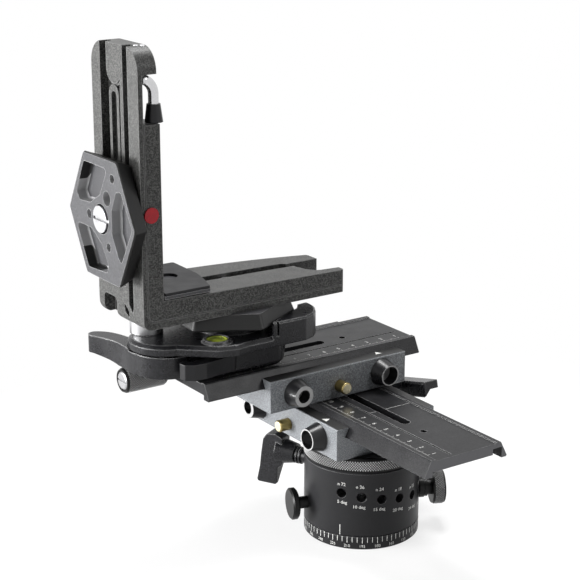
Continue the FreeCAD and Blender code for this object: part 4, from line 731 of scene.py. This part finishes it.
# %% [markdown]
# A small white triangle, painted on the block beside the plate, points at the scale.  It rides on
# the body that carries the block, so it stays while the scale slides past.

# %% The pointers
LOWER_POINTER, LOWER_POINTER_SIZE = (-28.9, -5.7, 71.9), 2.6
UPPER_POINTER, UPPER_POINTER_SIZE = (22.3, 16.1, 93.7), 2.4
bm = bmesh.new()
pointer(bm, LOWER_POINTER_SIZE, laid(*LOWER_POINTER, (0, -1, 0), (1, 0, 0)))
finished("lower_pointer", bm, "paint_white", "rotor", slot="block_grey")
bm = bmesh.new()
pointer(bm, UPPER_POINTER_SIZE, laid(*UPPER_POINTER, (1, 0, 0), (0, 1, 0)))
finished("upper_pointer", bm, "paint_white", "lower_slide", slot="block_grey")

# %% [markdown]
# ## Studio
# A black object on white needs a white that is seen but doesn't flood it.  The floor and the
# surround are white only to the camera and to mirror-like reflections.  To everything else the
# floor is plain pale paper and the surround is dim, so the lamps alone shape the metal.


# %% Helpers for the surround
def seen_or_mirrored(tree):
    """1 for a ray from the camera, or one that metal or glass sends on, and 0 for all others."""
    path = tree.nodes.new("ShaderNodeLightPath")
    result = path.outputs["Is Camera Ray"]
    for ray in ("Is Glossy Ray", "Is Transmission Ray"):
        larger = tree.nodes.new("ShaderNodeMath")
        larger.operation = "MAXIMUM"
        tree.links.new(result, larger.inputs[0])
        tree.links.new(path.outputs[ray], larger.inputs[1])
        result = larger.outputs[0]
    return result


def shared(tree, factor, first, second):
    """Mixes two shaders."""
    mix = tree.nodes.new("ShaderNodeMixShader")
    tree.links.new(factor, mix.inputs[0])
    tree.links.new(first, mix.inputs[1])
    tree.links.new(second, mix.inputs[2])
    return mix.outputs[0]


# %% The floor
FLOOR_HALF, FLOOR_DROP = 3, 0.2
FLOOR_SHADOW, SHADOW_FROM, SHADOW_TO = 0.25, 0.08, 0.32
PAPER = 0.9

bm = bmesh.new()
bmesh.ops.create_grid(bm, x_segments=1, y_segments=1, size=FLOOR_HALF)
floor_mesh = bpy.data.meshes.new("floor")
bm.to_mesh(floor_mesh)
bm.free()
floor = bpy.data.objects.new("floor", floor_mesh)
floor.location.z = -FLOOR_DROP * MM
bpy.context.collection.objects.link(floor)

floor_material, tree, shader = new_material("pale_floor")
shader.inputs["Base Color"].default_value = (PAPER, PAPER, PAPER, 1)
shader.inputs["Roughness"].default_value = 0.9
white = tree.nodes.new("ShaderNodeEmission")
distance = tree.nodes.new("ShaderNodeVectorMath")
distance.operation = "LENGTH"
tree.links.new(position(tree), distance.inputs[0])
fade = spread(tree, distance.outputs["Value"], 1 - FLOOR_SHADOW, 1, SHADOW_FROM, SHADOW_TO)
weight = both(tree, seen_or_mirrored(tree), fade)
floor_output = next(node for node in tree.nodes if node.type == "OUTPUT_MATERIAL")
tree.links.new(shared(tree, weight, shader.outputs[0], white.outputs[0]), floor_output.inputs[0])
floor_mesh.materials.append(floor_material)
print("the floor lies", FLOOR_DROP, "mm under the base and keeps", FLOOR_SHADOW, "of a shadow")

# %% The surround
SURROUND_LIGHT, SURROUND_SEEN = 0.18, 1.0

world = bpy.data.worlds.new("surround")
bpy.context.scene.world = world
world.use_nodes = True
tree = world.node_tree
tree.nodes.clear()
output = tree.nodes.new("ShaderNodeOutputWorld")
lit, seen = (tree.nodes.new("ShaderNodeBackground") for _ in range(2))
for background, strength in ((lit, SURROUND_LIGHT), (seen, SURROUND_SEEN)):
    background.inputs["Color"].default_value = (1, 1, 1, 1)
    background.inputs["Strength"].default_value = strength
tree.links.new(shared(tree, seen_or_mirrored(tree), lit.outputs[0], seen.outputs[0]),
               output.inputs[0])
print("the surround lights at", SURROUND_LIGHT, "and is seen at", SURROUND_SEEN)

# %% [markdown]
# ## Lamps
# Four soft lamps: the key on the left and a little above, a low one beside it for the round side
# of the pan unit, a weak fill on the right, and one overhead for the level faces.  A lamp's width
# sets how soft its shadow is.  A single big lamp would be simpler and would leave a black object
# flat.

# %% The lamps
HEART = (-0.03, 0, 0.12)
FOOT = (-0.03, 0, 0.03)
LAMPS = (("key", (-1.0, 0.15, 0.45), HEART, 0.6, 0.8, 13),
         ("low_left", (-0.9, 0.46, 0.14), FOOT, 0.35, 0.24, 17),
         ("fill", (0.5, -0.9, 0.7), HEART, 0.3, 0.3, 3.5),
         ("overhead", (0.15, 0.25, 1.1), HEART, 0.4, 0.4, 15))


def soft_lamp(name, place, target, width, height, power):
    data = bpy.data.lights.new(name, "AREA")
    data.shape, data.size, data.size_y, data.energy = "RECTANGLE", width, height, power
    lamp = bpy.data.objects.new(name, data)
    lamp.location = place
    lamp.rotation_euler = (Vector(target) - Vector(place)).to_track_quat("-Z", "Y").to_euler()
    bpy.context.collection.objects.link(lamp)
    print(name, power, "W,", width, "by", height, "m")


for lamp in LAMPS:
    soft_lamp(*lamp)

scene = bpy.context.scene
scene.view_settings.view_transform = "Standard"
